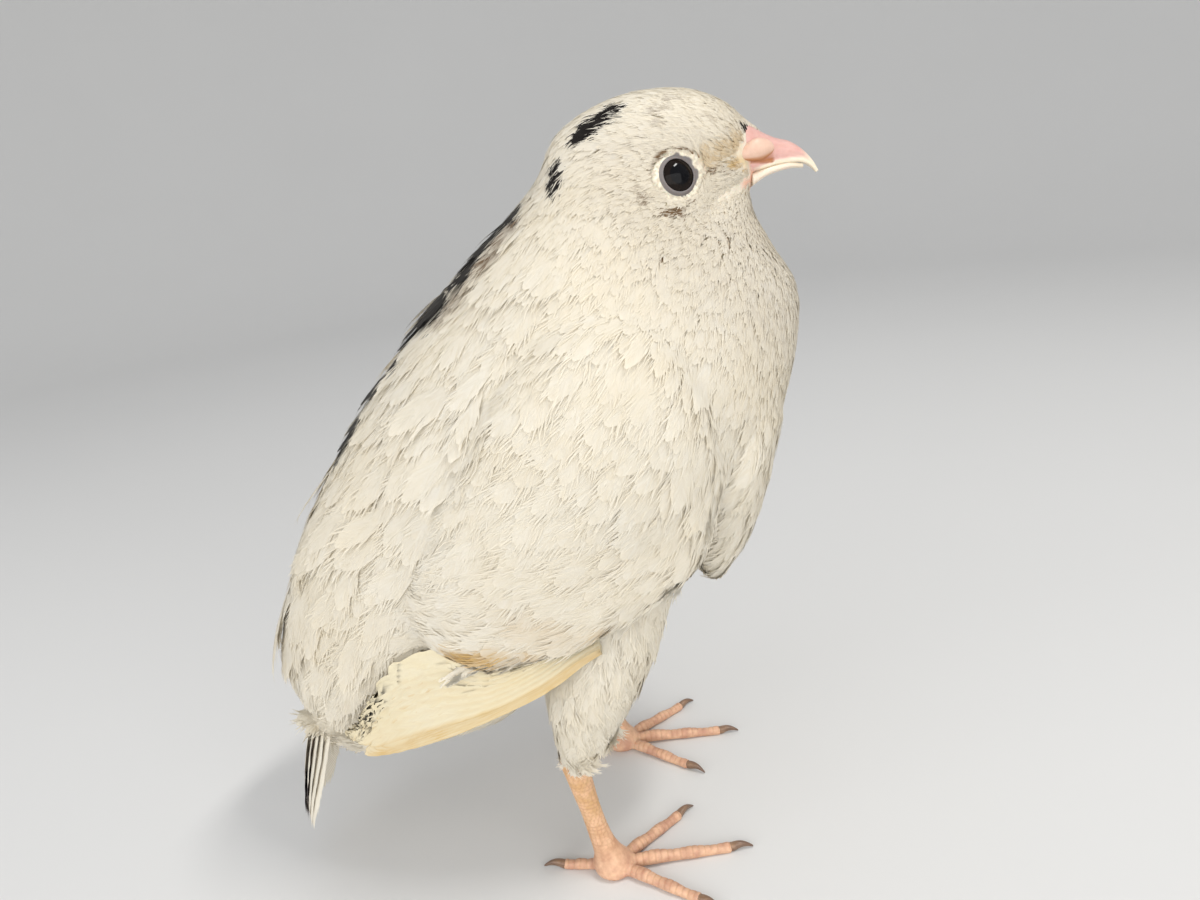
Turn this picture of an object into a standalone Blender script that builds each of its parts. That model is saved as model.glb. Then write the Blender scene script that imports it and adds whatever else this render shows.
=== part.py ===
"""A life-size standing coturnix quail, white with a few dark patches.

Frame: +X forward (the way the bird faces), +Z up, the bird's left side at +Y.
The floor is Z = 0 and the origin lies on the floor below the middle of the
overall length.  Named sizes below are in millimetres, with x measured from a
line ORIGIN_X behind the origin's; the meshes are made in metres.
"""

import math

import bmesh
import bpy
import numpy as np
from mathutils import Matrix, Vector

MM = 0.001
GAP = 0.3  # clear space between two solids that meet
ORIGIN_X = -13.45  # where the sizes below have the middle of the overall length

# ---------------------------------------------------------------- driving sizes
# The body is one loft from rump to bill base.  Each station is a section through
# the bird: its dorsal point (x, z), its ventral point (x, z), the half width,
# and how much fuller the section is on the ventral side.
BODY = (
    #  dorsal            ventral          half width  fullness
    ((-64.5, 35.0), (-58.5, 27.0), 4.0, 0.00),  # root of the tail
    ((-65.8, 45.0), (-51.5, 23.5), 9.5, 0.00),
    ((-63.6, 57.0), (-42.0, 22.8), 14.0, 0.02),  # vent
    ((-58.0, 70.5), (-29.5, 26.5), 19.0, 0.05),
    ((-48.8, 84.0), (-16.5, 33.0), 24.0, 0.08),  # rump
    ((-38.4, 96.5), (-3.5, 42.5), 27.5, 0.08),  # belly
    ((-27.6, 108.0), (9.5, 53.5), 29.5, 0.06),
    ((-17.6, 117.5), (22.6, 65.5), 29.5, 0.03),  # breast
    ((-10.2, 123.8), (32.0, 80.0), 27.2, 0.00),
    ((-5.4, 128.0), (37.2, 93.5), 22.8, -0.02),  # shoulders
    ((-3.4, 130.8), (38.6, 104.8), 17.2, -0.03),  # neck
    ((-2.2, 133.3), (34.8, 112.8), 12.8, -0.02),
    ((0.6, 136.4), (32.3, 118.2), 10.5, 0.00),  # head
    ((6.2, 139.2), (31.9, 120.0), 9.7, 0.00),
    ((13.6, 140.9), (31.7, 121.0), 9.4, 0.00),
    ((22.0, 140.3), (31.6, 121.7), 8.9, 0.00),
    ((28.0, 137.7), (31.5, 122.1), 7.0, 0.00),
    ((31.4, 134.6), (31.4, 122.5), 4.9, 0.00),  # base of the bill
)
BODY_ROUND = 2.12  # superellipse power of a body section
NECK_AT, HEAD_AT, BILL_AT = 8.6, 10.2, 17.0  # stations where the solids part
SIDES = 26

EYE_AT = (17.2, 7.0, 125.7)  # centre of the right eyeball, y outward
EYE_R = 4.4

# The upper mandible: top (x, z), bottom (x, z), half width
BILL_UPPER = (
    ((31.7, 133.8), (31.7, 125.2), 4.20),
    ((34.0, 132.0), (34.0, 125.6), 3.60),
    ((36.5, 130.6), (36.3, 126.0), 3.00),
    ((39.0, 129.7), (38.8, 126.1), 2.35),
    ((41.2, 128.1), (40.9, 125.9), 1.70),
    ((42.9, 126.1), (42.4, 125.1), 1.00),
    ((43.9, 124.3), (43.4, 124.0), 0.45),
)
BILL_LOWER = (
    ((31.7, 124.90), (31.7, 122.9), 3.60),
    ((34.0, 125.30), (34.2, 124.2), 3.00),
    ((36.4, 125.65), (36.6, 124.8), 2.30),
    ((38.8, 125.75), (39.0, 125.05), 1.60),
    ((40.6, 125.45), (40.8, 124.90), 0.90),
)
FLAP_AT, FLAP_R = (33.0, 3.5, 128.6), (3.1, 1.4, 1.8)  # nasal flap
FLAP_TILT = -8.0

# The wing lies on the flank.  Each station is its upper edge (x, z), its lower
# edge (x, z), and how far out the lower edge hangs when clear of the flank.
WING = (
    ((15.5, 98.0), (20.5, 79.0), 22.5),
    ((8.5, 106.0), (13.0, 64.5), 26.5),
    ((-4.0, 106.0), (-2.0, 56.5), 28.8),
    ((-16.5, 95.0), (-13.0, 53.0), 28.8),
    ((-27.0, 79.0), (-24.0, 51.0), 27.0),
    ((-35.0, 64.0), (-32.5, 54.5), 24.0),
)
WING_THICK = 3.4
FLIGHT = (
    ((-4.0, 55.0), (-4.4, 52.6), 28.4),
    ((-13.5, 51.9), (-14.0, 46.3), 28.0),
    ((-23.5, 49.9), (-24.0, 41.2), 26.0),
    ((-31.6, 52.6), (-34.0, 36.4), 23.0),
    ((-41.0, 48.5), (-43.0, 32.6), 19.5),
    ((-49.0, 38.5), (-50.0, 30.4), 16.5),
    ((-52.8, 34.2), (-53.4, 31.0), 15.0),
)
FLIGHT_THICK = 1.5

# The breast-side lobe: long soft feathers that overhang the lower breast.
LOBE_ROOT, LOBE_TIP = 8.25, 6.46  # stations
LOBE_TURN, LOBE_HALF = (154.0, 155.0), 19.0  # degrees round from the back
LOBE_STAND = 7.0  # how far its outer face stands off the body near the tip

# The tail: a flat wedge, its stations as top (x, z), bottom (x, z), half width
TAIL = (
    ((-64.8, 34.8), (-58.8, 26.8), 4.8),
    ((-67.4, 26.4), (-60.6, 21.6), 6.8),
    ((-69.4, 19.0), (-63.0, 16.4), 7.6),
    ((-70.4, 13.2), (-66.6, 12.4), 6.8),
    ((-70.8, 10.0), (-69.4, 9.9), 4.2),
)

# The feathered thigh: centre (x, y outward, z), radius along x, radius across
THIGH = (
    ((1.8, 14.5, 59.0), 10.0, 9.5),
    ((-3.0, 17.8, 50.0), 9.8, 9.0),
    ((-6.2, 19.6, 42.0), 8.6, 7.6),
    ((-8.3, 20.2, 35.0), 6.5, 5.8),
    ((-10.3, 20.4, 29.6), 4.4, 4.2),
    ((-11.3, 20.3, 26.8), 3.2, 3.1),
)
# The bare shank, in the same terms
SHANK = (
    ((-12.1, 20.3, 26.5), 2.7, 2.4),
    ((-11.8, 20.3, 22.8), 2.4, 2.0),
    ((-10.6, 20.0, 15.0), 2.0, 1.7),
    ((-9.4, 19.8, 8.4), 2.2, 1.9),
    ((-8.4, 19.6, 4.8), 2.8, 2.6),
    ((-7.8, 19.5, 2.6), 3.8, 3.6),
    ((-7.6, 19.5, 1.0), 3.9, 3.8),
    ((-7.6, 19.5, 0.0), 3.1, 3.0),
)
FOOT_X, FOOT_Y = -7.6, 19.5
LEFT_FORWARD = 4.0  # the left foot stands this much further forward
# Toes: (name, yaw from straight ahead with inward positive, start, length, radius)
TOES = (
    ("inner", 40.0, 3.6, 14.6, 1.30),
    ("middle", 2.0, 3.6, 19.3, 1.40),
    ("outer", -36.0, 3.6, 15.0, 1.30),
    ("hallux", 168.0, 3.6, 6.4, 1.10),
)
CLAW = 4.0


# ---------------------------------------------------------------- small helpers
def clear_scene():
    for o in list(bpy.data.objects):
        bpy.data.objects.remove(o, do_unlink=True)


def catmull(rows, s):
    """Smooth interpolation of equal-length number rows at station s."""
    rows = np.asarray(rows, float)
    top = len(rows) - 1
    s = min(max(s, 0.0), float(top))
    i = min(int(math.floor(s)), top - 1)
    f = s - i
    p1, p2 = rows[i], rows[i + 1]
    p0 = rows[i - 1] if i > 0 else 2 * p1 - p2
    p3 = rows[i + 2] if i + 2 <= top else 2 * p2 - p1
    return 0.5 * (
        2 * p1
        + (p2 - p0) * f
        + (2 * p0 - 5 * p1 + 4 * p2 - p3) * f * f
        + (3 * p1 - p0 - 3 * p2 + p3) * f**3
    )


BODY_ROWS = [[d[0], d[1], v[0], v[1], w, e] for d, v, w, e in BODY]


def spow(value, power):
    return math.copysign(abs(value) ** power, value)


def body_point(s, turn, out=0.0):
    """A point of the body's surface in mm; turn is in degrees from the back, positive to +Y."""
    dx, dz, vx, vz, w, e = catmull(BODY_ROWS, s)
    a, k = math.radians(turn), 2.0 / BODY_ROUND
    c, q = spow(math.cos(a), k), spow(math.sin(a), k)
    length = math.hypot(dx - vx, dz - vz) or 1e-9
    half = length / 2 + out
    ux, uz = (dx - vx) / length, (dz - vz) / length
    return np.array(
        [
            (dx + vx) / 2 + ux * half * c,
            (w + out) * q * (1 - e * math.cos(a)),
            (dz + vz) / 2 + uz * half * c,
        ]
    )


def flank(x, z):
    """How far out the body reaches at (x, z) in the side view, in mm, or 0 past its edge."""
    best = None
    for k in range(0, 171):
        s = k * 0.1
        dx, dz, vx, vz, w, e = catmull(BODY_ROWS, s)
        ex, ez = dx - vx, dz - vz
        length = math.hypot(ex, ez)
        side = (ex * (z - vz) - ez * (x - vx)) / length
        if best is None or abs(side) < best[0]:
            t = (ex * (x - vx) + ez * (z - vz)) / length**2 * 2 - 1
            best = (abs(side), t, w, e)
    _, t, w, e = best
    if abs(t) >= 1:
        return 0.0
    k = 2.0 / BODY_ROUND
    a = math.acos(spow(t, 1 / k))
    return w * math.sin(a) ** k * (1 - e * math.cos(a))


def make(name, verts, faces, material, smooth=True):
    """An object from points in mm, with its faces turned outward."""
    mesh = bpy.data.meshes.new(name)
    mesh.from_pydata([((x - ORIGIN_X) * MM, y * MM, z * MM) for x, y, z in verts], [], faces)
    bm = bmesh.new()
    bm.from_mesh(mesh)
    bmesh.ops.remove_doubles(bm, verts=bm.verts, dist=1e-6)
    bmesh.ops.recalc_face_normals(bm, faces=bm.faces)
    bmesh.ops.triangulate(bm, faces=[f for f in bm.faces if len(f.verts) > 4])
    bm.to_mesh(mesh)
    bm.free()
    obj = bpy.data.objects.new(name, mesh)
    bpy.context.scene.collection.objects.link(obj)
    if smooth:
        mesh.shade_smooth()
        mesh.set_sharp_from_angle(angle=math.radians(50))
    mesh.materials.append(material)
    return obj


def loft(rings, start="cap", end="cap"):
    """Points and faces of a tube through equal rings, each end capped flat or drawn to its middle."""
    n = len(rings[0])
    verts = [tuple(p) for r in rings for p in r]
    faces = [
        (i * n + j, i * n + (j + 1) % n, (i + 1) * n + (j + 1) % n, (i + 1) * n + j)
        for i in range(len(rings) - 1)
        for j in range(n)
    ]
    for ring, base in ((rings[0], 0), (rings[-1], (len(rings) - 1) * n)):
        verts.append(tuple(np.mean(np.asarray(ring, float), axis=0)))
        mid = len(verts) - 1
        for j in range(n):
            a, b = base + j, base + (j + 1) % n
            faces.append((a, b, mid) if base else (b, a, mid))
    return verts, faces


def section_rings(rows, steps, sides, power=2.0, under=None, grow=0.0):
    """Rings through (top, bottom, half width) stations of a piece on the mid plane.

    power rounds the upper half of each section and under, where given, the lower half."""
    flat = [[t[0], t[1], b[0], b[1], w] for t, b, w in rows]
    rings = []
    for s in np.linspace(0, len(rows) - 1, steps):
        tx, tz, bx, bz, w = catmull(flat, s)
        length = math.hypot(tx - bx, tz - bz)
        ux, uz = (tx - bx) / length, (tz - bz) / length
        ring = []
        for j in range(sides):
            a = 2 * math.pi * j / sides
            k = 2 / (under if under and math.cos(a) < 0 else power)
            c, q = spow(math.cos(a), k), spow(math.sin(a), k)
            half = length / 2 + grow
            ring.append(
                ((tx + bx) / 2 + ux * half * c, (w + grow) * q, (tz + bz) / 2 + uz * half * c)
            )
        rings.append(ring)
    return rings


def limb_rings(rows, side, steps, sides, dx=0.0, grow=0.0, floor=None):
    """Rings of an upright limb, level sections with a radius along x and one across."""
    flat = [[*c, rx, ry] for c, rx, ry in rows]
    rings = []
    for s in np.linspace(0, len(rows) - 1, steps):
        x, y, z, rx, ry = catmull(flat, s)
        ring = []
        for j in range(sides):
            a = 2 * math.pi * j / sides
            pz = z if floor is None else max(z, floor)
            ring.append(
                (
                    x + dx + (rx + grow) * math.cos(a),
                    side * y + (ry + grow) * math.sin(a),
                    pz,
                )
            )
        rings.append(ring)
    return rings


def body_rings(stations, out=0.0):
    return [
        [body_point(s, 360.0 * j / SIDES, out) for j in range(SIDES)] for s in stations
    ]


def cut_ring(s, shift, out=0.0):
    """The section at station s moved along its own normal, so that two solids part there."""
    dx, dz, vx, vz, _, _ = catmull(BODY_ROWS, s)
    length = math.hypot(dx - vx, dz - vz)
    normal = np.array([(dz - vz) / length, 0.0, -(dx - vx) / length])
    if normal @ (body_point(s + 0.3, 90) - body_point(s - 0.3, 90)) < 0:
        normal = -normal
    return [p + normal * shift for p in body_rings([s], out)[0]]


def cutter(name, verts, faces, material):
    obj = make(name, verts, faces, material, smooth=False)
    obj.hide_render = True
    obj.display_type = "WIRE"
    return obj


def swollen(obj, amount=GAP):
    """A cutter the shape of obj with its surface moved outward by the gap."""
    bm = bmesh.new()
    bm.from_mesh(obj.data)
    bmesh.ops.triangulate(bm, faces=bm.faces)
    bm.normal_update()
    move = [v.normal * min(v.calc_shell_factor(), 1.6) * amount * MM for v in bm.verts]
    for v, d in zip(bm.verts, move):
        v.co += d
    mesh = bpy.data.meshes.new("cut_" + obj.name)
    bm.to_mesh(mesh)
    bm.free()
    tool = bpy.data.objects.new("cut_" + obj.name, mesh)
    bpy.context.scene.collection.objects.link(tool)
    tool.hide_render = True
    tool.display_type = "WIRE"
    return tool


def cut(obj, tool):
    m = obj.modifiers.new("cut_" + tool.name, "BOOLEAN")
    m.operation = "DIFFERENCE"
    m.solver = "EXACT"
    m.object = tool


def material(name, colour, rough, metallic=0.0):
    m = bpy.data.materials.new(name)
    m.use_nodes = True
    p = m.node_tree.nodes["Principled BSDF"]
    p.inputs["Base Color"].default_value = (*colour, 1)
    p.inputs["Roughness"].default_value = rough
    p.inputs["Metallic"].default_value = metallic
    return m


def patch(rows, side, across, along, thick, edge, curve=1.0):
    """A slab over the flank: inner face a gap off the body or hanging free, outer face thick in the middle."""
    flat = [[u[0], u[1], l[0], l[1], h] for u, l, h in rows]
    inner, outer = [], []
    for s in np.linspace(0, len(rows) - 1, along):
        ux, uz, lx, lz, hang = catmull(flat, s)
        f = s / (len(rows) - 1)
        for k in range(across):
            v = k / (across - 1)
            x, z = ux + (lx - ux) * v, uz + (lz - uz) * v
            upper = flank(ux, uz)
            chord = upper + (hang - upper) * v**0.8 - 0.5 * (1 - v)
            lie = flank(x, z) + GAP + 0.12
            y = math.log(math.exp(lie * curve) + math.exp(chord * curve)) / curve
            bulge = math.sin(math.pi * v) ** 0.6 * math.sin(math.pi * min(max(f, 0.0), 1.0)) ** 0.5
            t = edge + (thick - edge) * bulge
            inner.append((x, side * y, z))
            outer.append((x, side * (y + t), z))
    verts = inner + outer
    n, faces = len(inner), []
    for i in range(along - 1):
        for k in range(across - 1):
            a = i * across + k
            faces.append((a, a + 1, a + across + 1, a + across))
            faces.append((n + a, n + a + across, n + a + across + 1, n + a + 1))
    rim = [k for k in range(across)]
    rim += [i * across + across - 1 for i in range(1, along)]
    rim += [(along - 1) * across + k for k in range(across - 2, -1, -1)]
    rim += [i * across for i in range(along - 2, 0, -1)]
    for i, a in enumerate(rim):
        b = rim[(i + 1) % len(rim)]
        faces.append((a, n + a, n + b, b))
    return verts, faces


def lobe(side, along=9, across=6):
    """The breast-side lobe, laid over the body's own surface and lifting towards its tip."""
    inner, outer = [], []
    for i in range(along):
        t = i / (along - 1)
        s = LOBE_ROOT + (LOBE_TIP - LOBE_ROOT) * t
        mid = LOBE_TURN[0] + (LOBE_TURN[1] - LOBE_TURN[0]) * t
        half = LOBE_HALF * (0.55 + 0.45 * math.sin(math.pi * min(t * 1.25, 0.5 + t / 2)))
        half *= math.sqrt(max(1 - max(t - 0.55, 0) ** 2 / 0.22, 0.10))
        for k in range(across):
            v = 2 * k / (across - 1) - 1
            turn = side * (mid + half * v)
            low = GAP + 0.15 + 1.5 * t**2
            high = low + 0.6 + (LOBE_STAND - 0.6) * (1 - 0.8 * v * v) * t**1.35 * math.sqrt(1 - 0.75 * t**5)
            inner.append(body_point(s, turn, low))
            outer.append(body_point(s, turn, high))
    verts = inner + outer
    n, faces = len(inner), []
    for i in range(along - 1):
        for k in range(across - 1):
            a = i * across + k
            faces.append((a, a + 1, a + across + 1, a + across))
            faces.append((n + a, n + a + across, n + a + across + 1, n + a + 1))
    rim = [k for k in range(across)]
    rim += [i * across + across - 1 for i in range(1, along)]
    rim += [(along - 1) * across + k for k in range(across - 2, -1, -1)]
    rim += [i * across for i in range(along - 2, 0, -1)]
    for i, a in enumerate(rim):
        b = rim[(i + 1) % len(rim)]
        faces.append((a, n + a, n + b, b))
    return verts, faces


def ellipsoid(centre, radii, lon, lat, tilt=0.0, grow=0.0):
    """A closed ellipsoid in mm, turned about Y by tilt degrees."""
    r = [q + grow for q in radii]
    turn = math.radians(tilt)
    verts, faces = [], []
    for i in range(1, lat):
        p = math.pi * i / lat
        for j in range(lon):
            q = 2 * math.pi * j / lon
            x, y, z = r[0] * math.sin(p) * math.cos(q), r[1] * math.cos(p), r[2] * math.sin(p) * math.sin(q)
            verts.append(
                (
                    centre[0] + x * math.cos(turn) + z * math.sin(turn),
                    centre[1] + y,
                    centre[2] - x * math.sin(turn) + z * math.cos(turn),
                )
            )
    for i in range(lat - 2):
        for j in range(lon):
            a, b = i * lon + j, i * lon + (j + 1) % lon
            faces.append((a, b, b + lon, a + lon))
    verts.append((centre[0], centre[1] + r[1], centre[2]))
    verts.append((centre[0], centre[1] - r[1], centre[2]))
    for j in range(lon):
        faces.append((len(verts) - 2, (j + 1) % lon, j))
        last = (lat - 2) * lon
        faces.append((len(verts) - 1, last + j, last + (j + 1) % lon))
    return verts, faces


def toe_rings(base, yaw, start, length, radius, sides, steps, end_radius):
    """A toe along the floor: a padded tube whose underside is flat at Z = 0."""
    ca, sa = math.cos(yaw), math.sin(yaw)
    rings = []
    for i in range(steps):
        t = i / (steps - 1)
        r = radius + (end_radius - radius) * t
        r *= 1 + 0.07 * math.cos(t * math.pi * 6)  # the pads between the joints
        d = start + length * t
        z = r * (0.86 + 0.35 * math.sin(math.pi * min(t * 1.1, 1.0)) * (1 - t))
        ring = []
        for j in range(sides):
            a = 2 * math.pi * (j + 0.5) / sides
            across, up = r * math.cos(a), z + r * math.sin(a)
            ring.append(
                (base[0] + ca * d - sa * across, base[1] + sa * d + ca * across, max(up, 0.0))
            )
        rings.append(ring)
    return rings


def claw_rings(base, yaw, start, radius, sides=8, steps=6):
    """A short curved claw, thick at the toe and blunt at the tip."""
    ca, sa = math.cos(yaw), math.sin(yaw)
    rings = []
    for i in range(steps):
        t = i / (steps - 1)
        r = radius * (1 - t) ** 0.8 + 0.16
        d = start + CLAW * t
        z = radius * 1.02 + 0.55 * math.sin(math.pi * t) * radius - 0.62 * radius * t * t
        ring = []
        for j in range(sides):
            a = 2 * math.pi * (j + 0.5) / sides
            across, up = 0.8 * r * math.cos(a), z + r * math.sin(a)
            ring.append(
                (base[0] + ca * d - sa * across, base[1] + sa * d + ca * across, max(up, 0.05))
            )
        rings.append(ring)
    return rings


# ---------------------------------------------------------------- the bird
def build():
    clear_scene()
    plumage = material("plumage", (0.86, 0.82, 0.70), 0.85)
    flight = material("flight_feathers", (0.84, 0.78, 0.60), 0.7)
    tail_m = material("tail_feathers", (0.62, 0.55, 0.44), 0.8)
    horn = material("bill", (0.86, 0.62, 0.55), 0.45)
    skin = material("leg_skin", (0.80, 0.50, 0.26), 0.55)
    claw_m = material("claw", (0.62, 0.45, 0.33), 0.4)
    eye_m = material("eye", (0.012, 0.010, 0.012), 0.08)

    # trunk, neck and head are one surface, parted by thin flat cuts
    stations = list(np.arange(0.0, 8.26, 0.5)) + [8.4]
    trunk_rings = body_rings(stations) + [cut_ring(NECK_AT, -GAP / 2)]
    trunk = make("trunk", *loft(trunk_rings), plumage)
    neck = make(
        "neck",
        *loft(
            [cut_ring(NECK_AT, GAP / 2)]
            + body_rings([8.85, 9.2, 9.6, 10.0])
            + [cut_ring(HEAD_AT, -GAP / 2)]
        ),
        plumage,
    )
    head_rings = (
        [cut_ring(HEAD_AT, GAP / 2)]
        + body_rings([10.4, 10.7, 11.0, 11.4, 11.7, 12.0, 12.5, 13.0, 13.5, 14.0, 14.5, 15.0, 15.5, 16.0, 16.5])
        + [cut_ring(BILL_AT, 0.0)]
    )
    head = make("head", *loft(head_rings), plumage)

    # eyes, each in a socket cut from the head
    for side, word in ((-1, "right"), (1, "left")):
        at = (EYE_AT[0], side * EYE_AT[1], EYE_AT[2])
        make("eye_" + word, *ellipsoid(at, (EYE_R,) * 3, 14, 9), eye_m)
        socket = cutter(
            "cut_eye_" + word, *ellipsoid(at, (EYE_R,) * 3, 14, 9, grow=GAP), plumage
        )
        cut(head, socket)

    # bill
    make("bill_upper", *loft(section_rings(BILL_UPPER, 13, 16, 2.2, 5.0)), horn)
    make("bill_lower", *loft(section_rings(BILL_LOWER, 9, 14, 5.0, 2.2)), horn)
    grown = section_rings(BILL_UPPER, 13, 16, 2.2, 5.0, grow=GAP)
    bill_cut = cutter("cut_bill", *loft(grown), horn)
    face_cut = cutter(
        "cut_face",
        *loft([cut_ring(15.5, 0.0, GAP), cut_ring(BILL_AT, 2 * GAP, GAP)]),
        plumage,
    )
    for side, word in ((-1, "right"), (1, "left")):
        at = (FLAP_AT[0], side * FLAP_AT[1], FLAP_AT[2])
        flap = make(
            "nostril_flap_" + word, *ellipsoid(at, FLAP_R, 14, 8, FLAP_TILT), horn
        )
        cut(flap, bill_cut)
        cut(flap, face_cut)

    # wings: the arm with its coverts, and the flight feathers below it
    over_thigh = {}
    for side, word in ((-1, "right"), (1, "left")):
        wing = make("wing_" + word, *patch(WING, side, 8, 13, WING_THICK, 0.9), plumage)
        vanes = make(
            "flight_feathers_" + word,
            *patch(FLIGHT, side, 5, 13, FLIGHT_THICK, 0.8),
            flight,
        )
        front = make("breast_lobe_" + word, *lobe(side), plumage)
        over_thigh[side] = [swollen(o, 1.6 * GAP) for o in (wing, vanes, front)]

    make("tail", *loft(section_rings(TAIL, 8, 14, 2.6)), tail_m)

    # legs
    body_cut = cutter(
        "cut_body",
        *loft(body_rings(list(np.arange(2.0, 8.6, 0.5)), GAP)),
        plumage,
    )
    for side, word in ((-1, "right"), (1, "left")):
        dx = 0.0 if side < 0 else LEFT_FORWARD
        thigh = make(
            "thigh_" + word, *loft(limb_rings(THIGH, side, 10, 16, dx)), plumage
        )
        for tool in [body_cut] + over_thigh[side]:
            cut(thigh, tool)
        shank = make(
            "shank_" + word,
            *loft(limb_rings(SHANK, side, 14, 12, dx, floor=0.0)),
            skin,
        )
        thigh_end = THIGH[-1][0][2]
        assert thigh_end - SHANK[0][0][2] >= GAP - 1e-6 and shank
        foot = (FOOT_X + dx, side * FOOT_Y)
        pad = cutter(
            "cut_foot_" + word,
            *loft(limb_rings(SHANK[3:], side, 9, 14, dx, grow=GAP, floor=-1.0)),
            skin,
        )
        for name, yaw, start, length, radius in TOES:
            turn = math.radians(-side * yaw)
            rings = toe_rings(foot, turn, start, length, radius, 10, 9, 0.95)
            toe = make(f"toe_{name}_{word}", *loft(rings), skin)
            cut(toe, pad)
            make(
                f"claw_{name}_{word}",
                *loft(claw_rings(foot, turn, start + length + GAP, 0.86)),
                claw_m,
            )


build()
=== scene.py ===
"""Looks of a life-size coturnix quail: one skin, a coat of mesh feathers, eyes, bill and claws.

Sizes are in millimetres in the bird's own frame (x forward, y to its left, z up,
x measured from a line ORIGIN_X behind the origin) and become metres when a mesh is made.
"""

import math

import bmesh
import bpy
import numpy as np
from mathutils import Matrix, Vector
from mathutils.bvhtree import BVHTree


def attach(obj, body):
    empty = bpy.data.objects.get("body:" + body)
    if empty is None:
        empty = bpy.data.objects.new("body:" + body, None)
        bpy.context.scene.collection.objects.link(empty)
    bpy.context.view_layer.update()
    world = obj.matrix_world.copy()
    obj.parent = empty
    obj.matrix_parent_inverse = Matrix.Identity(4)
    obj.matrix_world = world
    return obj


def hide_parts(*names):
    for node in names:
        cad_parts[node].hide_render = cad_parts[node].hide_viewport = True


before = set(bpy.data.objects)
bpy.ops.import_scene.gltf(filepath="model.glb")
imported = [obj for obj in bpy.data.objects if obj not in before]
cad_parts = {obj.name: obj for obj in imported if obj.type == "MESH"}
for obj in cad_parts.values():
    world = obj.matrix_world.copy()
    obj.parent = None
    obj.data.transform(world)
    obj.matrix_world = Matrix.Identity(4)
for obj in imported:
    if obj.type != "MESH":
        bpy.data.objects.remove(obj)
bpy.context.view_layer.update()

MM = 0.001
ORIGIN_X = -13.45
RNG = np.random.default_rng(11)

# ---------------------------------------------------------------- sizes of the body
BODY = (
    ((-64.5, 35.0), (-58.5, 27.0), 4.0, 0.00),
    ((-65.8, 45.0), (-51.5, 23.5), 9.5, 0.00),
    ((-63.6, 57.0), (-42.0, 22.8), 14.0, 0.02),
    ((-58.0, 70.5), (-29.5, 26.5), 19.0, 0.05),
    ((-48.8, 84.0), (-16.5, 33.0), 24.0, 0.08),
    ((-38.4, 96.5), (-3.5, 42.5), 27.5, 0.08),
    ((-27.6, 108.0), (9.5, 53.5), 29.5, 0.06),
    ((-17.6, 117.5), (22.6, 65.5), 29.5, 0.03),
    ((-10.2, 123.8), (32.0, 80.0), 27.2, 0.00),
    ((-5.4, 128.0), (37.2, 93.5), 22.8, -0.02),
    ((-3.4, 130.8), (38.6, 104.8), 17.2, -0.03),
    ((-2.2, 133.3), (34.8, 112.8), 12.8, -0.02),
    ((0.6, 136.4), (32.3, 118.2), 10.5, 0.00),
    ((6.2, 139.2), (31.9, 120.0), 9.7, 0.00),
    ((13.6, 140.9), (31.7, 121.0), 9.4, 0.00),
    ((22.0, 140.3), (31.6, 121.7), 8.9, 0.00),
    ((28.0, 137.7), (31.5, 122.1), 7.0, 0.00),
    ((31.4, 134.6), (31.4, 122.5), 4.9, 0.00),
)
BODY_ROUND = 2.12
BODY_ROWS = np.array([[d[0], d[1], v[0], v[1], w, e] for d, v, w, e in BODY])
EYE_AT, EYE_R = (17.2, 7.0, 125.7), 4.4
EYE_AIM = (0.34, 0.90, 0.28)  # the way the right eye looks, y outward
BILL_UPPER = (
    ((29.4, 134.9), (29.4, 124.9), 4.75),
    ((31.7, 133.8), (31.7, 125.2), 4.20),
    ((34.0, 132.0), (34.0, 125.6), 3.60),
    ((36.5, 130.6), (36.3, 126.0), 3.00),
    ((39.0, 129.7), (38.8, 126.1), 2.35),
    ((41.2, 128.1), (40.9, 125.9), 1.70),
    ((42.9, 126.1), (42.4, 125.1), 1.00),
    ((43.9, 124.3), (43.4, 124.0), 0.45),
)
BILL_LOWER = (
    ((31.7, 125.30), (31.7, 122.9), 4.00),
    ((34.0, 125.80), (34.2, 124.2), 3.38),
    ((36.4, 126.20), (36.6, 124.85), 2.72),
    ((38.8, 126.25), (39.0, 125.15), 2.02),
    ((41.0, 125.75), (41.1, 125.00), 1.20),
)
FLAP_AT, FLAP_R, FLAP_TILT = (33.0, 3.5, 128.6), (3.1, 1.4, 1.8), -8.0
WING = (
    ((15.5, 98.0), (20.5, 79.0), 22.5),
    ((8.5, 106.0), (13.0, 64.5), 26.5),
    ((-4.0, 106.0), (-2.0, 56.5), 28.8),
    ((-16.5, 95.0), (-13.0, 53.0), 28.8),
    ((-27.0, 79.0), (-24.0, 51.0), 27.0),
    ((-35.0, 64.0), (-32.5, 54.5), 24.0),
)
WING_THICK = 3.4
FLIGHT = (
    ((-4.0, 55.0), (-4.4, 52.6), 28.4),
    ((-13.5, 51.9), (-14.0, 46.3), 28.0),
    ((-23.5, 49.9), (-24.0, 41.2), 26.0),
    ((-31.6, 52.6), (-34.0, 36.4), 23.0),
    ((-41.0, 48.5), (-43.0, 32.6), 19.5),
    ((-49.0, 38.5), (-50.0, 30.4), 16.5),
    ((-52.8, 34.2), (-53.4, 31.0), 15.0),
)
LOBE_ROOT, LOBE_TIP = 8.25, 6.46
LOBE_TURN, LOBE_HALF, LOBE_STAND = (154.0, 155.0), 19.0, 7.0
TAIL = (
    ((-64.8, 34.8), (-58.8, 26.8), 4.8),
    ((-67.4, 26.4), (-60.6, 21.6), 6.8),
    ((-69.4, 19.0), (-63.0, 16.4), 7.6),
    ((-70.4, 13.2), (-66.6, 12.4), 6.8),
    ((-70.8, 10.0), (-69.4, 9.9), 4.2),
)
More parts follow.
